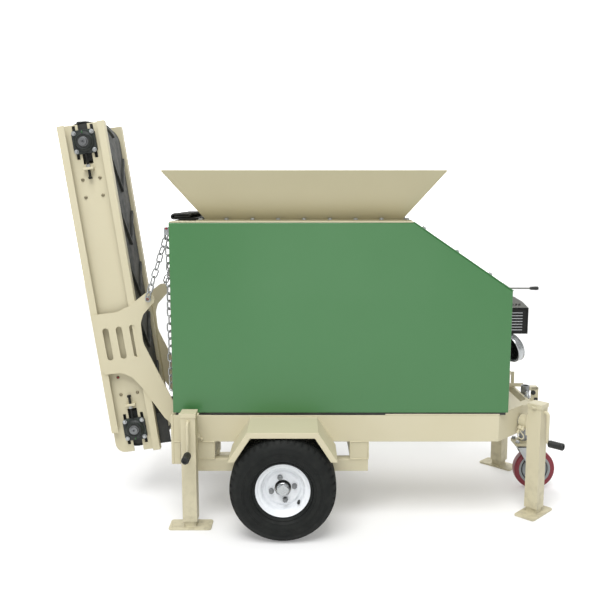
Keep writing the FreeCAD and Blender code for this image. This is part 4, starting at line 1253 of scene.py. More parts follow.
@dataclass
class Crusher:
    """The jaw crusher inside the panels: housing, jaws, chute and flap.

    Attributes:
        ridge: Pitch of the corrugated jaw face.
        relief: Depth of its ridges.
        body: The body that it belongs to.
    """

    ridge: float = 0.036
    relief: float = 0.010
    body: str = "chassis"

    def housing(self) -> None:
        """Dress the fabricated housing and weld its ribs on."""
        refit("crusher_housing", "eased", self.body, CREAM, 0.003)
        low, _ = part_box("crusher_housing")
        half_thick, reach, near = 0.006, low.x - 0.024, low.x - 0.0005
        outline = [(reach, 0.72), (near, 0.69), (near, 1.30), (reach, 1.27)]
        ribs = [sheet_metal(outline, 2 * half_thick, 0.002, Matrix.Translation((0, y - half_thick, 0)))
                for y in (-0.205, 0.0, 0.205)]
        ribs += [block((reach, -0.255, z - half_thick), (near, 0.255, z + half_thick), 0.002)
                 for z in (0.84, 1.08, 1.235)]
        fit(joined(ribs), "housing_ribs", self.body, CREAM)

    def jaw(self, corners: Sequence[tuple[float, float]], name: str, *replaced: str) -> None:
        """Build one manganese jaw with ridges down its face.

        Args:
            corners: Face bottom, face top, back top and back bottom, as (x, z).
            name: Its name.
            *replaced: The node that it stands for.
        """
        half = 0.236
        count = round(2 * half / self.ridge)
        face_low, face_high, _, back_low = (Vector((x, 0, z)) for x, z in corners)
        outward = (face_low - back_low).normalized()
        line = []
        for index in range(count * 2 + 1):
            y = -half + 2 * half * index / (count * 2)
            depth = 0 if index % 2 else -self.relief
            line.append(face_low + outward * depth + Vector((0, y, 0)))
        line += [back_low + Vector((0, half, 0)), back_low + Vector((0, -half, 0))]
        piece = chain([tuple(p) for p in line], "Jaw")
        rise = face_high - face_low
        with editing(piece):
            bpy.ops.mesh.edge_face_add()
            bpy.ops.mesh.extrude_region_move(TRANSFORM_OT_translate={"value": rise})
        cleaned(piece)
        fit(eased(piece, 0.003), name, self.body, JAW_STEEL, *replaced)

    def jaws(self) -> None:
        """Build the fixed jaw at the rear and the leaning swing jaw before it."""
        low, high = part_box("jaw_plates")
        thick = 0.040
        fixed = low.x + thick
        swing_low, swing_high = fixed + 0.060, fixed + 0.300
        self.jaw([(fixed, low.z), (fixed, high.z), (low.x, high.z), (low.x, low.z)],
                 "jaw_fixed", "jaw_plates")
        self.jaw([(swing_low, low.z), (swing_high, high.z), (swing_high + thick, high.z),
                  (swing_low + thick, low.z)], "jaw_swinging")

    def chute(self) -> None:
        """Dress the chute and hang the flap from its lip with a clamp bar."""
        refit("discharge_chute", "eased", self.body, CREAM, 0.0015)
        low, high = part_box("discharge_flap")
        flap = block((low.x + 0.003, low.y, low.z), (low.x + 0.009, high.y, high.z), 0)
        with editing(flap):
            bpy.ops.mesh.subdivide(number_cuts=24)
        for corner in flap.data.vertices:
            down = (high.z - corner.co.z) / (high.z - low.z)
            corner.co.x += 0.002 * down * math.sin(corner.co.y * 30 + 0.6)
        fit(eased(flap, 0.0008), "discharge_flap_sheet", self.body, RUBBER, "discharge_flap")
        clamp = block((low.x + 0.0005, low.y + 0.006, high.z - 0.030),
                      (low.x + 0.003, high.y - 0.006, high.z - 0.004), 0.0008)
        fit(clamp, "flap_clamp", self.body, ZINC)

    def build(self) -> None:
        """Build the crusher."""
        self.housing()
        self.jaws()
        self.chute()


# ---------------------------------------------------------------- wheels


@dataclass
class Wheel:
    """A trailer wheel: bias-ply tyre on a white steel rim, with its hub and lug nuts.

    Attributes:
        centre: Where the wheel's middle is on the right side.
        nut_circle: Radius that the lug nuts stand on.
        nut_angles: Where they stand on it, in degrees up from the front.
        valve_circle: Radius that the valve stands on.
        valve_angle: Where it stands on it.
        notch_steps: How many shoulder notches and gaps there are round the tyre.
    """

    centre: Point = (-0.164, -0.533, 0.230)
    nut_circle: float = 0.0508
    nut_angles: tuple[float, ...] = (103.55, 12.67, 192.80, 281.31)
    valve_circle: float = 0.093
    valve_angle: float = -40.64
    notch_steps: int = 132

    @property
    def place(self) -> Matrix:
        """The place of a part turned about Z, its face towards the right side."""
        return Matrix.Translation(self.centre) @ OUT_RIGHT

    def notched(self, at: Vector, way: Vector) -> bool:
        """Whether a face of the tyre's shoulder lies in a notch.

        Args:
            at: The face's middle.
            way: The face's normal, which makes no difference.

        Returns:
            Whether it does.
        """
        radius = math.hypot(at.x, at.y)
        step = math.floor(math.atan2(at.y, at.x) / FULL_TURN * self.notch_steps)
        return 0.2125 < radius < 0.2262 and abs(at.z) > 0.072 and step % 3 == 0

    def tyre(self) -> Piece:
        """Turn the tyre's section, then press the notches into its shoulders.

        Returns:
            The tyre.
        """
        half = [(100.4, 60), (100.4, 64.6), (118.5, 74.8), (120.5, 82), (124, 88), (127, 90.5),
                (128.5, 93.5), (131, 91.5), (133.5, 96.5), (139, 101), (141, 103.6), (143.5, 102),
                (150, 104.5), (160, 107), (162.5, 107.4), (163.5, 106.4), (165.5, 106.5),
                (166.5, 108), (169, 108), (170, 106.9), (172, 106.9), (173, 108), (180, 107.3), (188, 105.6),
                (190, 104.0), (192, 104.0), (193, 104.4), (199, 101.5), (205, 98), (207, 94.5), (213, 91),
                (219, 86), (223.5, 80), (226.5, 73), (228, 66), (222.5, 64.5), (222.5, 58),
                (228.8, 56.5), (229.5, 45), (224, 43.5), (224, 37.5), (229.8, 36), (230, 20),
                (224.5, 18.5), (224.5, 12.5), (230, 11)]
        line = half + [(radius, -z) for radius, z in reversed(half)]
        profile = [(radius / 1000, z / 1000) for radius, z in line + line[:1]]
        piece = turned(profile, self.notch_steps)
        with editing(piece, "FACE"):
            pick(piece, self.notched)
            bpy.ops.mesh.extrude_region_shrink_fatten(
                TRANSFORM_OT_shrink_fatten={"value": -0.0035, "use_even_offset": False})
        return eased(settled(piece, self.place), 0)

    def rim(self) -> Piece:
        """Turn the rim with its rolled flanges, ledges and dished disc.

        Returns:
            The rim.
        """
        outer = [(35.4, 36), (35.4, 43.4), (37, 45), (60, 45.4), (64, 46.4), (69, 46.8), (75, 42.5),
                 (77, 39.6), (80, 39.2), (83, 41.5), (87, 42.2), (90, 46), (91.5, 54), (93, 61),
                 (95.5, 65.5), (99, 67.5), (103, 68.2), (106, 69.2), (108, 72.8), (110.5, 75), (113.5, 76),
                 (115.3, 78.6), (117, 79.6), (118, 78.4), (117.4, 76), (114, 73.6), (111.6, 71.5),
                 (109, 67), (104, 65), (100, 62.5)]
        back = [(100, -64.5), (104, -65.2), (111, -68), (114, -73.6), (118, -78.4), (117, -79.6),
                (113.5, -77), (108, -71), (103, -67.5), (95, -64), (93, -50), (93, 28), (88, 35),
                (78, 37.5), (60, 37)]
        profile = [(radius / 1000, z / 1000) for radius, z in outer + back + outer[:1]]
        return turned(profile, 96, self.place)

    def hub(self) -> Piece:
        """Turn the hub barrel that shows dark in the disc's hole.

        Returns:
            The hub.
        """
        profile = [(0.0185, -0.015), (0.034, -0.015), (0.034, 0.030), (0.0292, 0.032), (0.0285, 0.0545),
                   (0.0272, 0.0560), (0.0185, 0.0560), (0.0185, -0.015)]
        return turned(profile, 48, self.place)

    def cap(self) -> Piece:
        """Turn the bright dust cap with its rolled bead.

        Returns:
            The cap.
        """
        profile = [(0, 0.0562), (0.0268, 0.0562), (0.0282, 0.0575), (0.0282, 0.0605),
                   (0.0262, 0.062), (0.0250, 0.064), (0.0250, 0.0695), (0.0258, 0.0705), (0.0250, 0.0715),
                   (0.0243, 0.0750), (0.0222, 0.0758), (0.021, 0.0750), (0.006, 0.0756), (0, 0.0757)]
        return turned(profile, 48, self.place)

    def nuts(self) -> Piece:
        """Space the coned lug nuts, each with its stud showing.

        Returns:
            The nuts as one piece.
        """
        nut = hexagon_bolt(0.023, 0.013)
        cone = turned([(0, 0), (0.0085, 0), (0.0115, 0.0035), (0, 0.0035)], 24)
        stud = turned([(0, 0.010), (0.0055, 0.010), (0.0055, 0.0185), (0.0045, 0.0195), (0, 0.0195)], 16)
        master = joined([settled(nut, Matrix.Translation((0, 0, 0.003))), cone, stud])
        places = []
        for degrees in self.nut_angles:
            angle = math.radians(degrees)
            at = (self.nut_circle * math.cos(angle), self.nut_circle * math.sin(angle), 0.0452)
            places.append(self.place @ Matrix.Translation(at) @ Matrix.Rotation(angle, 4, "Z"))
        return spread(master, places)

    def valve(self) -> Piece:
        """Stand the valve in the rim's ledge.

        Returns:
            The valve.
        """
        angle = math.radians(self.valve_angle)
        at = (self.valve_circle * math.cos(angle), self.valve_circle * math.sin(angle), 0.048)
        profile = [(0, 0), (0.0082, 0), (0.0082, 0.004), (0.006, 0.008), (0.0056, 0.016), (0.0062, 0.0165),
                   (0.0062, 0.024), (0.0048, 0.0255), (0, 0.0258)]
        lean = Matrix.Rotation(angle, 4, "Z") @ Matrix.Rotation(math.radians(-14), 4, "Y")
        return turned(profile, 20, self.place @ Matrix.Translation(at) @ lean)

    def build(self) -> None:
        """Build both wheels, the left one as the mirror image of the right."""
        made = [("tyre", self.tyre(), TYRE, "tyre"), ("rim", self.rim(), WHITE, "wheel_rim"),
                ("hub", self.hub(), GRIP, ""), ("dust_cap", self.cap(), BRIGHT, ""),
                ("lug_nuts", self.nuts(), MACHINED, ""), ("valve", self.valve(), GRIP, "")]
        for name, piece, finish, node in made:
            for side in Side:
                body = f"wheel_{side.label}"
                copy = copied(piece, MIRROR, turn_out=True) if side is Side.LEFT else piece
                replaced = [f"{node}_{side.label}"] if node else []
                fit(copy, f"{name}_{side.label}_turned", body, finish, *replaced)


# ---------------------------------------------------------------- conveyor


@dataclass
class Conveyor:
    """The fold-up discharge conveyor, in its own frame with Z from tail shaft to head shaft.

    Attributes:
        tail: Where the tail shaft is.
        lean: How far the folded conveyor leans back, in degrees.
        centres: Distance between the shafts.
        belt_radius: Outer radius of the belt round its drums.
        belt_half: Half of the belt's width.
        belt_thick: Thickness of the belt.
        web: Distance of a web's outer face from the middle.
        cleats: How many cleats the belt carries.
        first_cleat: Height of the lowest cleat's apex above the tail shaft.
        body: The body that it is.
    """

    tail: Point = (-0.889, 0.0, 0.356)
    lean: float = -7.9
    centres: float = 1.372
    belt_radius: float = 0.0945
    belt_half: float = 0.132
    belt_thick: float = 0.006
    web: float = 0.147
    cleats: int = 13
    first_cleat: float = 0.100
    body: str = "conveyor"

    @property
    def place(self) -> Matrix:
        """The conveyor's frame."""
        return Matrix.Translation(self.tail) @ Matrix.Rotation(math.radians(self.lean), 4, "Y")

    def unit(self, z: float) -> Matrix:
        """The frame of a bearing on the right web: Z outwards, Y towards the head."""
        return self.place @ Matrix.Translation((0, -self.web, z)) @ OUT_RIGHT

    def on_loop(self, run: float, height: float) -> tuple[float, float]:
        """Where a point of the belt is.

        Args:
            run: Its distance round the loop from the tail, up the loaded side.
            height: Its height over the belt's outer face.

        Returns:
            Its X and Z in the conveyor's frame.
        """
        arc = math.pi * self.belt_radius
        radius = self.belt_radius + height
        run = run % (2 * self.centres + 2 * arc)
        if run < self.centres:
            return radius, run
        run -= self.centres
        if run < arc:
            angle = run / self.belt_radius
            return radius * math.cos(angle), self.centres + radius * math.sin(angle)
        run -= arc
        if run < self.centres:
            return -radius, self.centres - run
        angle = (run - self.centres) / self.belt_radius
        return -radius * math.cos(angle), -radius * math.sin(angle)

    def belt(self) -> Piece:
        """Draw the belt's loop, widen it and give it its thickness.

        Returns:
            The belt, in the conveyor's frame.
        """
        arc = math.pi * self.belt_radius
        runs = [self.centres * i / 24 for i in range(24)]
        runs += [self.centres + arc * i / 24 for i in range(24)]
        runs += [self.centres + arc + self.centres * i / 24 for i in range(24)]
        runs += [2 * self.centres + arc + arc * i / 24 for i in range(25)]
        line = [self.on_loop(run, 0.0) for run in runs]
        band = chain([(x, -self.belt_half, z) for x, z in line], "Belt")
        width = 2 * self.belt_half
        with editing(band):
            bpy.ops.mesh.extrude_region_move(TRANSFORM_OT_translate={"value": (0, width, 0)})
        cleaned(band)
        modified(band, "SOLIDIFY", thickness=self.belt_thick, offset=-1)
        return eased(band, 0.0018)

    def cleat(self) -> Piece:
        """Mould one cleat flat: two arms that meet in a V, their sides sloped and tops rounded.

        Returns:
            The cleat.
        """
        reach, rise, width, height = 0.117, 0.150, 0.020, 0.012
        outline = [(0, 0), (reach, rise), (reach, rise + width), (0, width), (-reach, rise + width),
                   (-reach, rise)]
        piece = chain([(0, y, z) for y, z in outline + outline[:1]], "Cleat")
        with editing(piece):
            bpy.ops.mesh.remove_doubles(threshold=MERGE)
            bpy.ops.mesh.edge_face_add()
            bpy.ops.mesh.extrude_region_move(TRANSFORM_OT_translate={"value": (height, 0, 0)})
            bpy.ops.transform.resize(value=(1, 0.985, 0.97), center_override=(height, 0, 0.085))
        cleaned(piece)
        for index in range(1, 10):
            for way in (-1, 1):
                with editing(piece, "FACE"):
                    bpy.ops.mesh.bisect(plane_co=(0, way * reach * index / 10, 0), plane_no=(0, 1, 0))
        return modified(piece, "BEVEL", width=0.0022, segments=2, limit_method="ANGLE",
                        angle_limit=EASED_ANGLE)

    def cleat_ring(self) -> Piece:
        """Set the cleats round the whole loop, bent with it over the drums.

        Returns:
            The cleats as one piece.
        """
        master = self.cleat()
        length = 2 * self.centres + 2 * math.pi * self.belt_radius
        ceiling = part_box("conveyor_belt")[1].z + 0.0005
        made = []
        for index in range(self.cleats):
            piece = copied(master, Matrix.Identity(4))
            shift = self.first_cleat + length * index / self.cleats
            for corner in piece.data.vertices:
                run, height = corner.co.z + shift, corner.co.x - 0.0006
                x, z = self.on_loop(run, height)
                while height > 0.0004 and (self.place @ Vector((x, corner.co.y, z))).z > ceiling:
                    height *= 0.7
                    x, z = self.on_loop(run, height)
                corner.co.x, corner.co.z = x, z
            made.append(piece)
        bpy.data.objects.remove(master)
        return eased(cleaned(joined(made)), 0)

    def bearing(self) -> dict[str, Piece]:
        """Model one flange bearing with its seat in the middle of the XY plane.

        Returns:
            The housing, seal, inner ring, bolts and grease nipple.
        """
        side = 0.054
        pad = sheet_metal([(-side, -side), (side, -side), (side, side), (-side, side)], 0.014, 0.0025,
                          OUT_RIGHT, bend=0.018)
        boss = turned([(0.0182, 0.0), (0.047, 0.0), (0.047, 0.0150), (0.0445, 0.0185), (0.0410, 0.0205),
                       (0.0375, 0.0235), (0.0355, 0.0280), (0.0345, 0.0315), (0.0325, 0.0320),
                       (0.0305, 0.0310), (0.0295, 0.0255), (0.0182, 0.0255), (0.0182, 0.0)], 56)
        seal = turned([(0.0225, 0.0256), (0.0292, 0.0256), (0.0288, 0.0292), (0.0262, 0.0302),
                       (0.0225, 0.0290), (0.0225, 0.0256)], 48)
        inner = turned([(0.0174, 0.0256), (0.0222, 0.0256), (0.0222, 0.0308), (0.0212, 0.0318),
                        (0.0184, 0.0318), (0.0174, 0.0308), (0.0174, 0.0256)], 48)
        bolts = fasteners(hexagon_bolt(0.0165, 0.0075, 0.0105),
                          [(x, y, 0.0142) for x in (-0.0415, 0.0415) for y in (-0.0415, 0.0415)], (0, 0, 1))
        nipple = turned([(0, 0), (0.0035, 0), (0.0035, 0.004), (0.0022, 0.005), (0.0022, 0.008),
                         (0.003, 0.0095), (0.002, 0.012), (0, 0.012)], 14,
                        aimed((0, 0.040, 0.0185), (0, 0.045, 0.027)))
        return {"housings": joined([pad, boss]), "seals": seal, "inner_rings": inner, "bolts": bolts,
                "nipples": nipple}

    def bearings(self) -> None:
        """Bolt a bearing over each end of both shafts."""
        finishes = {"housings": IRON, "seals": RUBBER, "inner_rings": MACHINED, "bolts": ZINC,
                    "nipples": GREEN}
        turn = Matrix.Rotation(math.pi, 4, "Z")
        for name, piece in self.bearing().items():
            pair = spread(piece, [self.unit(0.0) @ turn, self.unit(self.centres)])
            replaced = ["flange_bearings"] if name == "housings" else []
            fit(with_mirror(pair), f"bearing_{name}", self.body, finishes[name], *replaced)

    def takeup(self, z: float, way: int) -> dict[str, Piece]:
        """Model one take-up: its welded bracket, black screw and nut.

        Args:
            z: Height of the shaft.
            way: 1 where the screw points up the conveyor, -1 where it points down.

        Returns:
            The bracket, screw and nut, in place.
        """
        unit = self.unit(z)
        bracket = joined([block((-0.025, 0.116, 0.0), (0.025, 0.128, 0.0245), 0.003),
                          block((-0.018, 0.110, 0.0), (0.018, 0.134, 0.006), 0.002)])
        screw = joined([bar((0, 0.055, 0.0135), (0, 0.160, 0.0135), 0.0062, 0.0008, 20),
                        settled(hexagon_bolt(0.020, 0.009), aimed((0, 0.160, 0.0135), (0, 0.2, 0.0135)))])
        nut = settled(hexagon_bolt(0.021, 0.008, 0.0095), aimed((0, 0.1155, 0.0135), (0, 0.05, 0.0135)))
        turn = unit if way > 0 else unit @ Matrix.Rotation(math.pi, 4, "Z")
        return {"brackets": settled(bracket, turn), "screws": settled(screw, turn),
                "nuts": settled(nut, turn)}

    def takeups(self) -> None:
        """Fit the four take-ups."""
        low, high = self.takeup(0.0, 1), self.takeup(self.centres, -1)
        finishes = {"brackets": CREAM, "screws": BLACK_SHEET, "nuts": ZINC}
        for name, finish in finishes.items():
            replaced = ["takeup_screws"] if name == "brackets" else []
            pair = with_mirror(joined([low[name], high[name]]))
            fit(pair, f"takeup_{name}", self.body, finish, *replaced)

    def web_bolts(self) -> None:
        """Put the bed's bolts through the webs; one head is touched with red."""
        spots = [(x, z) for x in (-0.040, 0.040)
                 for z in (0.175, 0.260, self.centres - 0.169, self.centres - 0.250)]
        points = [self.place @ Vector((x, -self.web - 0.0002, z)) for x, z in spots]
        head = turned([(0, 0), (0.0078, 0), (0.0080, 0.0012), (0.0066, 0.0034), (0.0042, 0.0042),
                       (0.0036, 0.0026), (0, 0.0026)], 20)
        fit(with_mirror(fasteners(head, points, (0, -1, 0))), "web_bolts", self.body, YELLOW_ZINC)
        mark = self.place @ Vector((-0.039, -self.web - 0.0038, 0.260))
        dot = turned([(0, 0), (0.0052, 0), (0.0040, 0.0016), (0, 0.0020)], 16,
                     aimed(mark, mark + Vector((0, -1, 0))))
        fit(dot, "web_bolt_mark", self.body, RED)

    def drum(self, z: float, name: str) -> None:
        """Turn a drum with its shaft.

        Args:
            z: Height of its shaft.
            name: The body, node and first part of the name.
        """
        place = self.unit(z) @ Matrix.Translation((0, 0, -self.web))
        end = 0.185
        face = [(0.0170, end - 0.0012), (0.0158, end), (0.0112, end), (0.0108, end - 0.0012),
                (0.0096, end - 0.0012), (0.0092, end), (0.0056, end), (0.0034, end - 0.006),
                (0, end - 0.008)]
        shaft = turned([(r, -z) for r, z in reversed(face)] + face, 40, place)
        crown = [(0.017, -0.128), (0.084, -0.128), (0.0868, -0.126), (0.0878, -0.06), (0.088, 0),
                 (0.0878, 0.06), (0.0868, 0.126), (0.084, 0.128), (0.017, 0.128)]
        shell = turned(crown + crown[:1], 64, place)
        fit(shell, f"{name}_shell", name, RUBBER, name)
        fit(shaft, f"{name}_shaft", name, MACHINED)

    def frame_pieces(self) -> None:
        """Ease and dress the channels, arms, bed and skirts."""
        refit("conveyor_channels", "folded", self.body, CREAM, 0.0016)
        refit("conveyor_arms", "cut", self.body, CREAM, 0.0014)
        refit("conveyor_bed", "eased", self.body, CREAM, 0.002, convex=False)
        refit("tail_skirt", "eased", self.body, RUBBER, 0.0015)

    def edges(self) -> None:
        """Run the weld beads down the inside corners of the channels."""
        high = self.centres + 0.079
        beads = []
        for x, low in ((-0.1036, 0.0), (0.1036, -0.108)):
            ends = [self.place @ Vector((x, -self.web - 0.0006, z)) for z in (low, high)]
            beads.append(rod([tuple(p) for p in ends], 0.0026, sides=2))
        fit(with_mirror(joined(beads)), "channel_bend_lines", self.body, CREAM)

    def build(self) -> None:
        """Build the conveyor."""
        self.frame_pieces()
        self.edges()
        fit(settled(self.belt(), self.place), "belt_loop", self.body, BELT, "conveyor_belt")
        fit(settled(self.cleat_ring(), self.place), "belt_cleats", self.body, CLEAT)
        self.bearings()
        self.takeups()
        self.web_bolts()
        self.drum(0.0, "tail_pulley")
        self.drum(self.centres, "head_pulley")


@dataclass
class HoldChains:
    """The two chains that hold the folded conveyor, made link by link.

    Attributes:
        wire: Radius of a link's wire.
        pitch: Distance from link to link.
        length: Length of a link outside.
        width: Width of a link outside.
        y: How far each chain is from the middle.
        ear: Where the conveyor's ear bolt is.
        anchor: Where the chassis' anchor pin is.
        tail_end: Height of the slack end.
    """

    wire: float = 0.0035
    pitch: float = 0.036
    length: float = 0.050
    width: float = 0.033
    y: float = 0.205
    ear: tuple[float, float] = (-0.802, 0.992)
    anchor: tuple[float, float] = (-0.698, 1.310)
    tail_end: float = 0.561

    def link(self) -> Piece:
        """Bend and close one link, along Z.

        Returns:
            The link.
        """
        half_long = self.length / 2 - self.wire
        half_wide = self.width / 2 - self.wire
        corners = [(-half_wide, 0, -half_long), (half_wide, 0, -half_long),
                   (half_wide, 0, half_long), (-half_wide, 0, half_long)]
        return rod(corners, self.wire, bend=half_wide * 0.98, sides=2, closed=True)

    def run(self, master: Piece, start: Vector, end: Vector, sway: float) -> Piece:
        """Hang links from one point to another, each turned a quarter from the last.

        Args:
            master: One link.
            start: The first link's top.
            end: The last link's bottom.
            sway: How far the links wander from the straight line.

        Returns:
            The chain.
        """
        count = max(1, round((end - start).length / self.pitch))
        places = []
        for index in range(count):
            at = start.lerp(end, (index + 0.5) / count)
            drift = Vector((math.sin(index * 1.9) * sway, math.cos(index * 1.3) * sway, 0))
            tilt = Matrix.Rotation(math.radians(4) * math.sin(index * 2.3), 4, "X")
            turn = Matrix.Rotation(math.radians(24 + 90 * index + 7 * math.sin(index)), 4, "Z")
            places.append(aimed(at + drift, at + drift + (end - start)) @ tilt @ turn)
        made = [copied(master, place) for place in places]
        return joined(made)

    def build(self) -> None:
        """Build the taut runs, the slack tails and the pins that they hang on."""
        master = self.link()
        ear = Vector((self.ear[0], -self.y, self.ear[1]))
        anchor = Vector((self.anchor[0], -self.y, self.anchor[1]))
        taut = with_mirror(self.run(master, anchor, ear, 0.0))
        slack = with_mirror(self.run(master, anchor - Vector((0, 0, 0.006)),
                                     Vector((anchor.x, anchor.y, self.tail_end)), 0.0018))
        bpy.data.objects.remove(master)
        fit(slack, "chain_tails", "chassis", ZINC, "hold_chains")
        taut.name = "chain_runs"
        taut.data.materials.clear()
        taut.data.materials.append(ZINC.build())
        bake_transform(taut)
        log.info("chain_runs from chassis to conveyor: %d faces", len(taut.data.polygons))
        refit("chain_anchors", "eased", "chassis", BRIGHT, 0.001)
        tip = aimed((anchor.x, -self.y - 0.0362, anchor.z + 0.0133), (anchor.x, -1, anchor.z + 0.0133))
        red = turned([(0, 0), (0.0058, 0), (0.0056, 0.0012), (0.0042, 0.0022), (0, 0.0024)], 18, tip)
        fit(with_mirror(red), "anchor_tips", "chassis", RED)
        head = settled(hexagon_bolt(0.026, 0.006, 0.0145),
                       aimed((ear.x, -0.1832, ear.z), (ear.x, -1, ear.z)))
        fit(with_mirror(head), "ear_bolt_nuts", "conveyor", ZINC)
        dot = turned([(0, 0), (0.0072, 0), (0.0064, 0.0018), (0, 0.0022)], 18,
                     aimed((ear.x, -0.1998, ear.z), (ear.x, -1, ear.z)))
        fit(with_mirror(dot), "ear_bolt_marks", "conveyor", RED)


# ---------------------------------------------------------------- jacks


@dataclass
class Jacks:
    """The four swing-up corner jacks, each with its leg, foot, crank and pull pin.

    Attributes:
        pivot_z: Height of the swing pivots.
        crank_z: Height of the crank shaft over the pivot.
        crank_arm: Length of the crank from shaft to grip.
        half: Half of the outer tube's side.
        foot_top: Height of the foot plate's top face.
    """

    pivot_z: float = 0.430
    crank_z: float = 0.062
    crank_arm: float = 0.142
    half: float = 0.032
    foot_top: float = 0.008

    def place(self, end: End) -> Matrix:
        """The frame of a right-hand jack: Z up from its pivot, -Y away from the machine.

        Args:
            end: The end of the machine.

        Returns:
            The frame.
        """
        low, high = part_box(f"jack_leg_{end.label}_right")
        turn = math.radians(45) if end is End.FRONT else 0.0
        centre = (low + high) / 2
        return Matrix.Translation((centre.x, centre.y, self.pivot_z)) @ Matrix.Rotation(turn, 4, "Z")

    def both(self, piece: Piece, name: str, end: End, part: str, finish: Finish, node: str = "") -> None:
        """Hang a right-hand piece and its mirror image on their jacks.

        Args:
            piece: The piece, in its place on the right side.
            name: The first part of its name.
            end: The end of the machine.
            part: The moving part that it belongs to: "", "_leg" or "_crank".
            finish: Its finish.
            node: The first part of the name of the node that it stands for, if any.
        """
        for side in Side:
            tag = f"{end.label}_{side.label}"
            made = copied(piece, MIRROR, turn_out=True) if side is Side.LEFT else piece
            replaced = [f"{node}_{tag}"] if node else []
            fit(made, f"{name}_{tag}", f"jack_{tag}{part}", finish, *replaced)

    def tubes(self, end: End) -> None:
        """Ease the tubes and legs, and weld the feet, caps and collars on.

        Args:
            end: The end of the machine.
        """
        for side in Side:
            tag = f"{end.label}_{side.label}"
            refit(f"jack_tube_{tag}", "eased", f"jack_{tag}", CREAM, 0.0035)
            refit(f"jack_leg_{tag}", "eased", f"jack_{tag}_leg", CREAM, 0.0025)
        place = self.place(end)
        inner, top = 0.0265, self.foot_top - self.pivot_z
        corners = [(-inner, -inner), (inner, -inner), (inner, inner), (-inner, inner), (-inner, -inner)]
        seam = weld([place @ Vector((x, y, top + 0.0005)) for x, y in corners], 0.003)
        self.both(seam, "foot_weld", end, "_leg", CREAM)
        ears = [block((x - 0.0045, -0.010, 0.080), (x + 0.0045, 0.010, 0.092), 0.003)
                for x in (-0.0405, 0.0405)]
        self.both(settled(joined(ears), place), "cap_ears", end, "", CREAM)
        seat = place @ Matrix.Translation((0, self.half + 0.004, 0)) @ OUT_RIGHT.inverted()
        ring = turned([(0.0318, 0), (0.0352, 0), (0.0352, 0.008), (0.0318, 0.008), (0.0318, 0)], 40,
                      seat, 0.001)
        self.both(ring, "collar_ring", end, "", CREAM)

    def crank(self, end: End) -> None:
        """Bend the crank from one rod and slide its moulded grip on.

        Args:
            end: The end of the machine.
        """
        out, low = self.half + 0.0195, self.crank_z - self.crank_arm
        handle = rod([(0, -self.half + 0.004, self.crank_z), (0, -out, self.crank_z), (0, -out, low),
                      (0, -out - 0.016, low)], 0.0072, bend=0.013, sides=4)
        self.both(settled(handle, self.place(end)), "crank_rod", end, "_crank", CREAM, "jack_crank")
        profile = [(0.0078, 0.0), (0.0135, 0.0), (0.0160, 0.0020), (0.0168, 0.0060)]
        for index in range(5):
            z = 0.0125 + index * 0.0095
            profile += [(0.0168, z), (0.0158, z + 0.0014), (0.0158, z + 0.0036), (0.0168, z + 0.005)]
        profile += [(0.0170, 0.0640), (0.0164, 0.0680), (0.0140, 0.0700), (0.0098, 0.0700),
                    (0.0086, 0.0640), (0, 0.0640)]
        start = (0, -self.half - 0.0285, low)
        grip = turned(profile, 32, self.place(end) @ aimed(start, (0, -1, low)))
        self.both(grip, "crank_grip", end, "_crank", GRIP)
        shaft = bar((0, -self.half + 0.006, self.crank_z), (0, -self.half + 0.020, self.crank_z), 0.0058)
        self.both(settled(shaft, self.place(end)), "crank_shaft", end, "_crank", BRIGHT)

    def pull_pin(self, end: End) -> None:
        """Fit the spring pin that locks the swing, with its boss and wire bail.

        Args:
            end: The end of the machine.
        """
        way = 1 if end is End.REAR else -1
        place = self.place(end)
        y = self.half + (0.0275 if end is End.REAR else 0.040)
        start = Vector((way * 0.022, y, -0.022))
        aim = Vector((way * 0.7071, 0, -0.7071))
        profile = [(0, 0), (0.0100, 0), (0.0108, 0.0012), (0.0108, 0.0165), (0.0096, 0.0180), (0, 0.0180)]
        boss = turned(profile, 24, place @ aimed(start, start + aim))
        self.both(boss, "pin_boss", end, "", CREAM)
        tip = start + aim * 0.019
        stem = turned([(0, 0), (0.0045, 0), (0.0045, 0.010), (0.0075, 0.012), (0.0085, 0.0155),
                       (0.0075, 0.0190), (0.0045, 0.0205), (0, 0.0205)], 20, place @ aimed(tip, tip + aim))
        self.both(stem, "pull_pin", end, "", CREAM)
        if end is End.FRONT:
            down = Vector((0, 0, -0.042))
            corners = [(0.0, 0.006, 0.75), (0.0, -0.004, 1.0), (0.0, -0.022, 1.0), (0.0, -0.026, 0.6)]
            loop = rod([tip] + [tip + Vector((x, y, 0)) + down * drop for x, y, drop in corners],
                       0.0026, bend=0.006, sides=3, closed=True)
            self.both(settled(loop, place), "pin_bail", end, "", CREAM)
            pad = block((-0.037, self.half - 0.0005, -0.056), (0.037, self.half + 0.0075, 0.046), 0.004)
            self.both(settled(pad, place), "collar_pad", end, "", CREAM)

    def build(self) -> None:
        """Build all four jacks."""
        for end in End:
            self.tubes(end)
            self.crank(end)
            self.pull_pin(end)


# ---------------------------------------------------------------- caster and nose


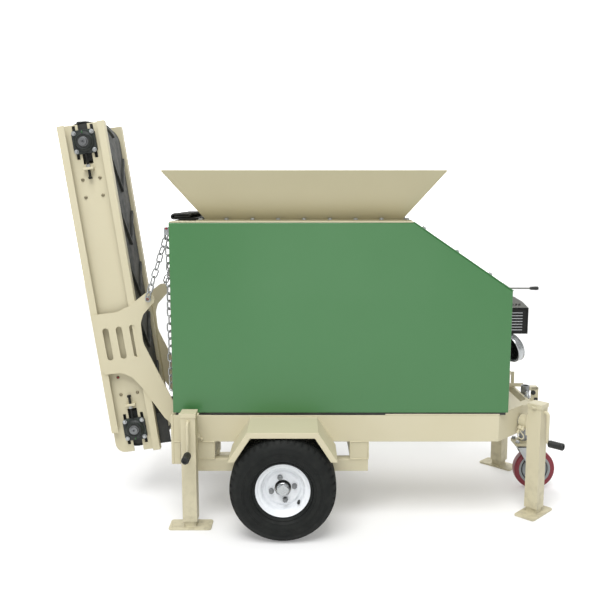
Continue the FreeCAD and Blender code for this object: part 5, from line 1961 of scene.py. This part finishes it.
@dataclass
class Caster:
    """The swivel caster under the nose, on its height-adjusted stem.

    Attributes:
        stem: Where the stem is, seen from above.
        axle: Where the wheel's axle is.
        plate_top: Height of the mounting plate's top face.
    """

    stem: tuple[float, float] = (1.034, 0.0)
    axle: Point = (1.092, 0.0, 0.102)
    plate_top: float = 0.245

    @property
    def place(self) -> Matrix:
        """The place of a part turned about Z, laid along the wheel's axle."""
        return Matrix.Translation(self.axle) @ OUT_RIGHT

    def stem_pipe(self) -> None:
        """Part the zinc pipe from the painted plate and bolt the plate down."""
        pipe = softened("caster_stem", 0.0012, convex=False)
        with editing(pipe, "FACE"):
            pick(pipe, lambda at, way: at.z < self.plate_top + 0.0005)
            bpy.ops.mesh.separate(type="SELECTED")
        plate = [p for p in bpy.context.selected_objects if p is not pipe][0]
        fit(pipe, "stem_pipe", "chassis", MACHINED, "caster_stem")
        fit(plate, "stem_plate", "chassis", CREAM)
        x, y = self.stem
        points = [(x + i, y + j, self.plate_top) for i in (-0.036, 0.036) for j in (-0.036, 0.036)]
        fit(fasteners(hexagon_bolt(0.021, 0.008, 0.0125), points, (0, 0, 1)), "stem_plate_bolts",
            "chassis", ZINC)
        seam = turned([(0.0205, 0), (0.0262, 0), (0.0250, 0.0025), (0.0225, 0.0050), (0.0205, 0.0056),
                       (0.0205, 0)], 40, Matrix.Translation((x, y, self.plate_top)))
        fit(seam, "stem_weld", "chassis", CREAM)
        pin = turned([(0, -0.033), (0.0045, -0.033), (0.0055, -0.031), (0.0055, 0.034), (0.0095, 0.034),
                      (0.0105, 0.036), (0.0095, 0.0395), (0.0050, 0.0415), (0, 0.042)], 24,
                     aimed((x, 0, 0.503), (x, -1, 0.503)))
        fit(pin, "stem_pin", "chassis", BRIGHT)

    def nose(self) -> None:
        """Add the domed bolt by the stem, the hitch bracket and the plugs in its square sockets."""
        deck, top, front = 0.4935, 0.522, 1.100
        socket = Vector((1.072, -0.0055, 0.496))
        dome = turned([(0, 0), (0.0150, 0), (0.0150, 0.0025), (0.0118, 0.0032), (0.0112, 0.0080),
                       (0.0080, 0.0125), (0.0035, 0.0145), (0, 0.0148)], 28,
                      Matrix.Translation((1.022, -0.078, deck - 0.0003)))
        fit(dome, "nose_bolt", "chassis", ZINC)
        upright = block((front - 0.0375, -0.006, 0.440), (front, 0.002, top), 0.003)
        ledge = block((front - 0.060, -0.006, top - 0.016), (front, 0.040, top), 0.003)
        strip = block((0.970, 0.116, deck), (1.060, 0.122, 0.512), 0.002)
        post = block((1.004, 0.144, deck), (1.020, 0.152, 0.566), 0.002)
        fit(joined([upright, ledge, strip, post]), "hitch_bracket", "chassis", CREAM)
        round_plug = turned([(0, 0), (0.0105, 0), (0.0120, 0.0020), (0.0120, 0.0060), (0.0095, 0.0085),
                             (0, 0.0090)], 28, aimed(socket, (socket.x, -1, socket.z)))
        square_plug = block((1.078, -0.013, 0.453), (1.096, socket.y, 0.470), 0.0025)
        fit(joined([round_plug, square_plug]), "socket_plugs", "chassis", GRIP)

    def fork(self) -> None:
        """Press the fork, with its race, axle nuts and brake pedal."""
        body = "caster_fork"
        fit(softened("caster_fork", 0.0012, convex=False), "fork_pressed", body, ZINC, "caster_fork")
        x, y = self.stem
        race = turned([(0.010, 0.2185), (0.0355, 0.2185), (0.0365, 0.2215), (0.0365, 0.2255),
                       (0.0340, 0.2290), (0.010, 0.2300), (0.010, 0.2185)], 48,
                      Matrix.Translation((x, y, 0)))
        fit(race, "swivel_race", body, DARK_STEEL)
        nuts = fasteners(hexagon_bolt(0.024, 0.0085, 0.0125), [(self.axle[0], -0.0362, self.axle[2])],
                         (0, -1, 0))
        fit(with_mirror(nuts), "caster_axle_nuts", body, ZINC)
        lever = sheet_metal([(0.030, 0.178), (0.060, 0.186), (0.100, 0.166), (0.128, 0.144), (0.134, 0.150),
                             (0.104, 0.176), (0.064, 0.198), (0.028, 0.190)], 0.034, 0.0012,
                            Matrix.Translation((x, -0.017, 0)))
        fit(lever, "brake_pedal", body, ZINC)
        tip = block((x + 0.118, -0.018, 0.142), (x + 0.136, 0.018, 0.155), 0.003)
        fit(tip, "brake_pedal_pad", body, RED)

    def wheel(self) -> None:
        """Turn the polyurethane tread and the grey core with its dark ring."""
        half_tread = [(0.0780, 0.0225), (0.0945, 0.0246), (0.0985, 0.0232), (0.1007, 0.0195),
                      (0.1018, 0.0130), (0.1020, 0.0)]
        tread = half_tread + [(r, -z) for r, z in reversed(half_tread[:-1])]
        fit(turned(tread + tread[:1], 72, self.place), "caster_tread", "caster_wheel", TREAD,
            "caster_wheel")
        half_core = [(0.0085, 0.0268), (0.0205, 0.0268), (0.0222, 0.0255), (0.0235, 0.0190),
                     (0.0270, 0.0165), (0.0560, 0.0160), (0.0590, 0.0185), (0.0610, 0.0205),
                     (0.0625, 0.0180), (0.0660, 0.0180), (0.0675, 0.0215), (0.0720, 0.0232),
                     (0.0785, 0.0230)]
        core = half_core + [(r, -z) for r, z in reversed(half_core)]
        fit(turned(core + core[:1], 72, self.place), "caster_core", "caster_wheel", CORE)
        groove = [(0.0618, 0.0150), (0.0668, 0.0150), (0.0662, 0.0190), (0.0624, 0.0190), (0.0618, 0.0150)]
        near = turned(groove, 72, self.place)
        fit(with_mirror(near), "caster_ring", "caster_wheel", RUBBER)

    def build(self) -> None:
        """Build the caster."""
        self.stem_pipe()
        self.nose()
        self.fork()
        self.wheel()


# ---------------------------------------------------------------- engine and lever


@dataclass
class Engine:
    """The small petrol engine in the nose, its guard, cover and fan shroud.

    Attributes:
        x: Where its crankshaft is.
        bed: Height of its bed.
        half: Half of its crankcase's width.
        shroud: Middle of the fan shroud's outer face.
        shroud_faces: The way that the shroud faces.
        grip_reach: How far the lever's grip ends past its bare rod.
        louvres: How many louvres the guard has.
        body: The body that it belongs to.
    """

    x: float = 0.690
    bed: float = 0.560
    half: float = 0.130
    shroud: Point = (0.898, -0.168, 0.750)
    shroud_faces: Point = (-0.858, -0.425, -0.283)
    grip_reach: float = 0.014
    louvres: int = 7
    body: str = "chassis"

    def bearers(self) -> None:
        """Lay the two folded channels that carry the engine across the nose."""
        pieces = []
        low, high = 0.4994, self.bed
        for way in (-1, 1):
            heel, toe = self.x + way * 0.162, self.x + way * 0.090
            wall = way * 0.007
            pieces.append(sheet_metal([(heel, low), (heel, high), (toe, high), (toe, high - 0.007),
                                       (heel - wall, high - 0.007), (heel - wall, low + 0.007),
                                       (toe, low + 0.007), (toe, low)], 0.696, 0.002,
                                      Matrix.Translation((0, -0.348, 0))))
        fit(joined(pieces), "engine_bearers", self.body, CREAM)

    def crankcase(self) -> None:
        """Cast the crankcase with its ribs, cover and drain plugs."""
        low, high = self.bed + 0.0005, self.bed + 0.190
        case = block((self.x - 0.145, -self.half + 0.008, low + 0.012),
                     (self.x + 0.150, self.half - 0.008, high), 0.016)
        foot = block((self.x - 0.150, -self.half, low), (self.x + 0.158, self.half, low + 0.016), 0.004)
        ribs = [block((self.x - 0.125 + 0.045 * index, -self.half + 0.002, low + 0.014),
                      (self.x - 0.118 + 0.045 * index, self.half - 0.002, low + 0.120), 0.002)
                for index in range(6)]
        cover = turned([(0, 0), (0.088, 0), (0.088, 0.010), (0.084, 0.014), (0.050, 0.018), (0.046, 0.026),
                        (0.020, 0.028), (0, 0.028)], 48,
                       aimed((self.x, self.half - 0.012, low + 0.100), (self.x, 1, low + 0.100)), 0.001)
        plugs = fasteners(hexagon_bolt(0.020, 0.010, 0.012),
                          [(self.x + 0.151, y, low + 0.034) for y in (-0.070, 0.070)], (1, 0, 0))
        fit(joined([case, foot, cover] + ribs), "crankcase", self.body, ENGINE, "engine_block")
        fit(plugs, "drain_plugs", self.body, ZINC)

    def cylinder(self) -> None:
        """Stack the cooling fins round the cylinder under its rocker cover."""
        low = self.bed + 0.188
        fins = []
        for index in range(7):
            z = low + index * 0.0095
            inset = 0.006 if index % 2 else 0.0
            fins.append(block((self.x + 0.004, -0.104 + inset, z),
                              (self.x + 0.128, 0.104 - inset, z + 0.0035), 0.001))
        core = block((self.x + 0.018, -0.090, low - 0.004), (self.x + 0.114, 0.090, low + 0.072), 0.008)
        fit(joined(fins + [core]), "cylinder_fins", self.body, ENGINE)
        tank = block((self.x - 0.150, -0.125, low + 0.010), (self.x - 0.012, 0.165, low + 0.165), 0.030)
        with editing(tank, "FACE"):
            pick(tank, lambda at, way: way.z > 0.95)
            bpy.ops.mesh.inset(thickness=0.012, depth=0.0)
            bpy.ops.transform.translate(value=(0, 0, 0.004))
        cap = turned([(0, 0), (0.030, 0), (0.032, 0.003), (0.032, 0.016), (0.029, 0.020), (0.010, 0.022),
                      (0, 0.022)], 32, Matrix.Translation((self.x - 0.080, 0.02, low + 0.167)))
        fit(eased(tank, 0.0), "fuel_tank", self.body, BLACK_SHEET)
        fit(cap, "fuel_cap", self.body, GRIP)

    def exhaust(self) -> None:
        """Fit the louvred guard and the vanes that show between its slots."""
        fit(eased(node_copy("engine_guard"), 0.0), "guard_pressed", self.body, BLACK_SHEET, "engine_guard")
        low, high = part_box("engine_guard")
        vanes = []
        for index in range(self.louvres):
            z = low.z + 0.016 + index * 0.0135
            left = high.x - 0.104 + (0.022 if 1 < index < 5 else 0.0)
            vanes.append(sheet_metal([(left, z + 0.0006), (high.x - 0.026, z + 0.0006),
                                      (high.x - 0.026, z + 0.0046), (left, z + 0.0046)], 0.0025, 0.0006,
                                     Matrix.Translation((0, low.y + 0.0008, 0))))
        fit(joined(vanes), "guard_vanes", self.body, BRIGHT)
        fit(softened("engine_cover", 0.003), "cover_pressed", self.body, GREY, "engine_cover")

    def fan(self) -> None:
        """Turn the fan shroud's bright band and lay the black grille in it."""
        face, way = Vector(self.shroud), Vector(self.shroud_faces)
        place = aimed(face - way * 0.036, face)
        band = turned([(0.0560, 0), (0.0640, 0), (0.0690, 0.003), (0.0690, 0.007), (0.0672, 0.0085),
                       (0.0672, 0.0280), (0.0660, 0.0335), (0.0640, 0.0360), (0.0615, 0.0360),
                       (0.0590, 0.0330), (0.0560, 0.0320), (0.0560, 0)], 64, place)
        fit(band, "shroud_band", self.body, BRIGHT, "engine_shroud")
        line = [(0.0, 0.020)]
        for index in range(6):
            radius = 0.008 + index * 0.0082
            line += [(radius, 0.020), (radius, 0.026), (radius + 0.0040, 0.026), (radius + 0.0040, 0.020)]
        line += [(0.0562, 0.020), (0.0562, 0.004), (0.0, 0.004)]
        rings = turned(line, 56, place)
        spokes = []
        for index in range(12):
            spoke = block((0.012, -0.0014, 0.021), (0.056, 0.0014, 0.0285), 0.0006)
            spokes.append(settled(spoke, place @ Matrix.Rotation(FULL_TURN * index / 12, 4, "Z")))
        fit(joined([rings] + spokes), "shroud_grille", self.body, BLACK_SHEET)

    def lever(self) -> None:
        """Fit the thin speed lever with its tapered grip."""
        low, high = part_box("control_lever")
        y, z = (low.y + high.y) / 2, (low.z + high.z) / 2
        hub_x = low.x + 0.012
        reach = high.x + self.grip_reach
        hub = turned([(0.0064, -0.007), (0.0112, -0.007), (0.0120, -0.0055), (0.0120, 0.0055),
                      (0.0112, 0.007), (0.0064, 0.007), (0.0064, -0.007)], 32,
                     Matrix.Translation((hub_x, y, z)))
        arm = rod([(hub_x + 0.010, y, z), (reach - 0.034, y, z)], 0.0036, sides=3)
        fit(joined([hub, arm]), "lever_rod", "control_lever", GREY, "control_lever")
        grip = turned([(0, 0), (0.0052, 0), (0.0068, 0.003), (0.0078, 0.010), (0.0088, 0.028),
                       (0.0088, 0.036), (0.0070, 0.041), (0, 0.0420)], 28,
                      aimed((reach - 0.042, y, z), (reach + 1, y, z)))
        fit(grip, "lever_grip", "control_lever", GRIP)
        refit("lever_bracket", "eased", self.body, ZINC, 0.0015)

    def build(self) -> None:
        """Build the engine."""
        self.bearers()
        self.crankcase()
        self.cylinder()
        self.exhaust()
        self.fan()
        self.lever()


# ---------------------------------------------------------------- the whole machine


def main() -> None:
    """Build the machine round its frame, part by part."""
    logging.basicConfig(level=logging.INFO, format="%(name)s: %(message)s")
    FRAME.update(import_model())
    for part in (Studio(), Chassis(), Bodywork(), Crusher(), Wheel(), Conveyor(), HoldChains(), Jacks(),
                 Caster(), Engine()):
        part.build()
        log.info("%s done", type(part).__name__)


if __name__ == "__main__":
    main()
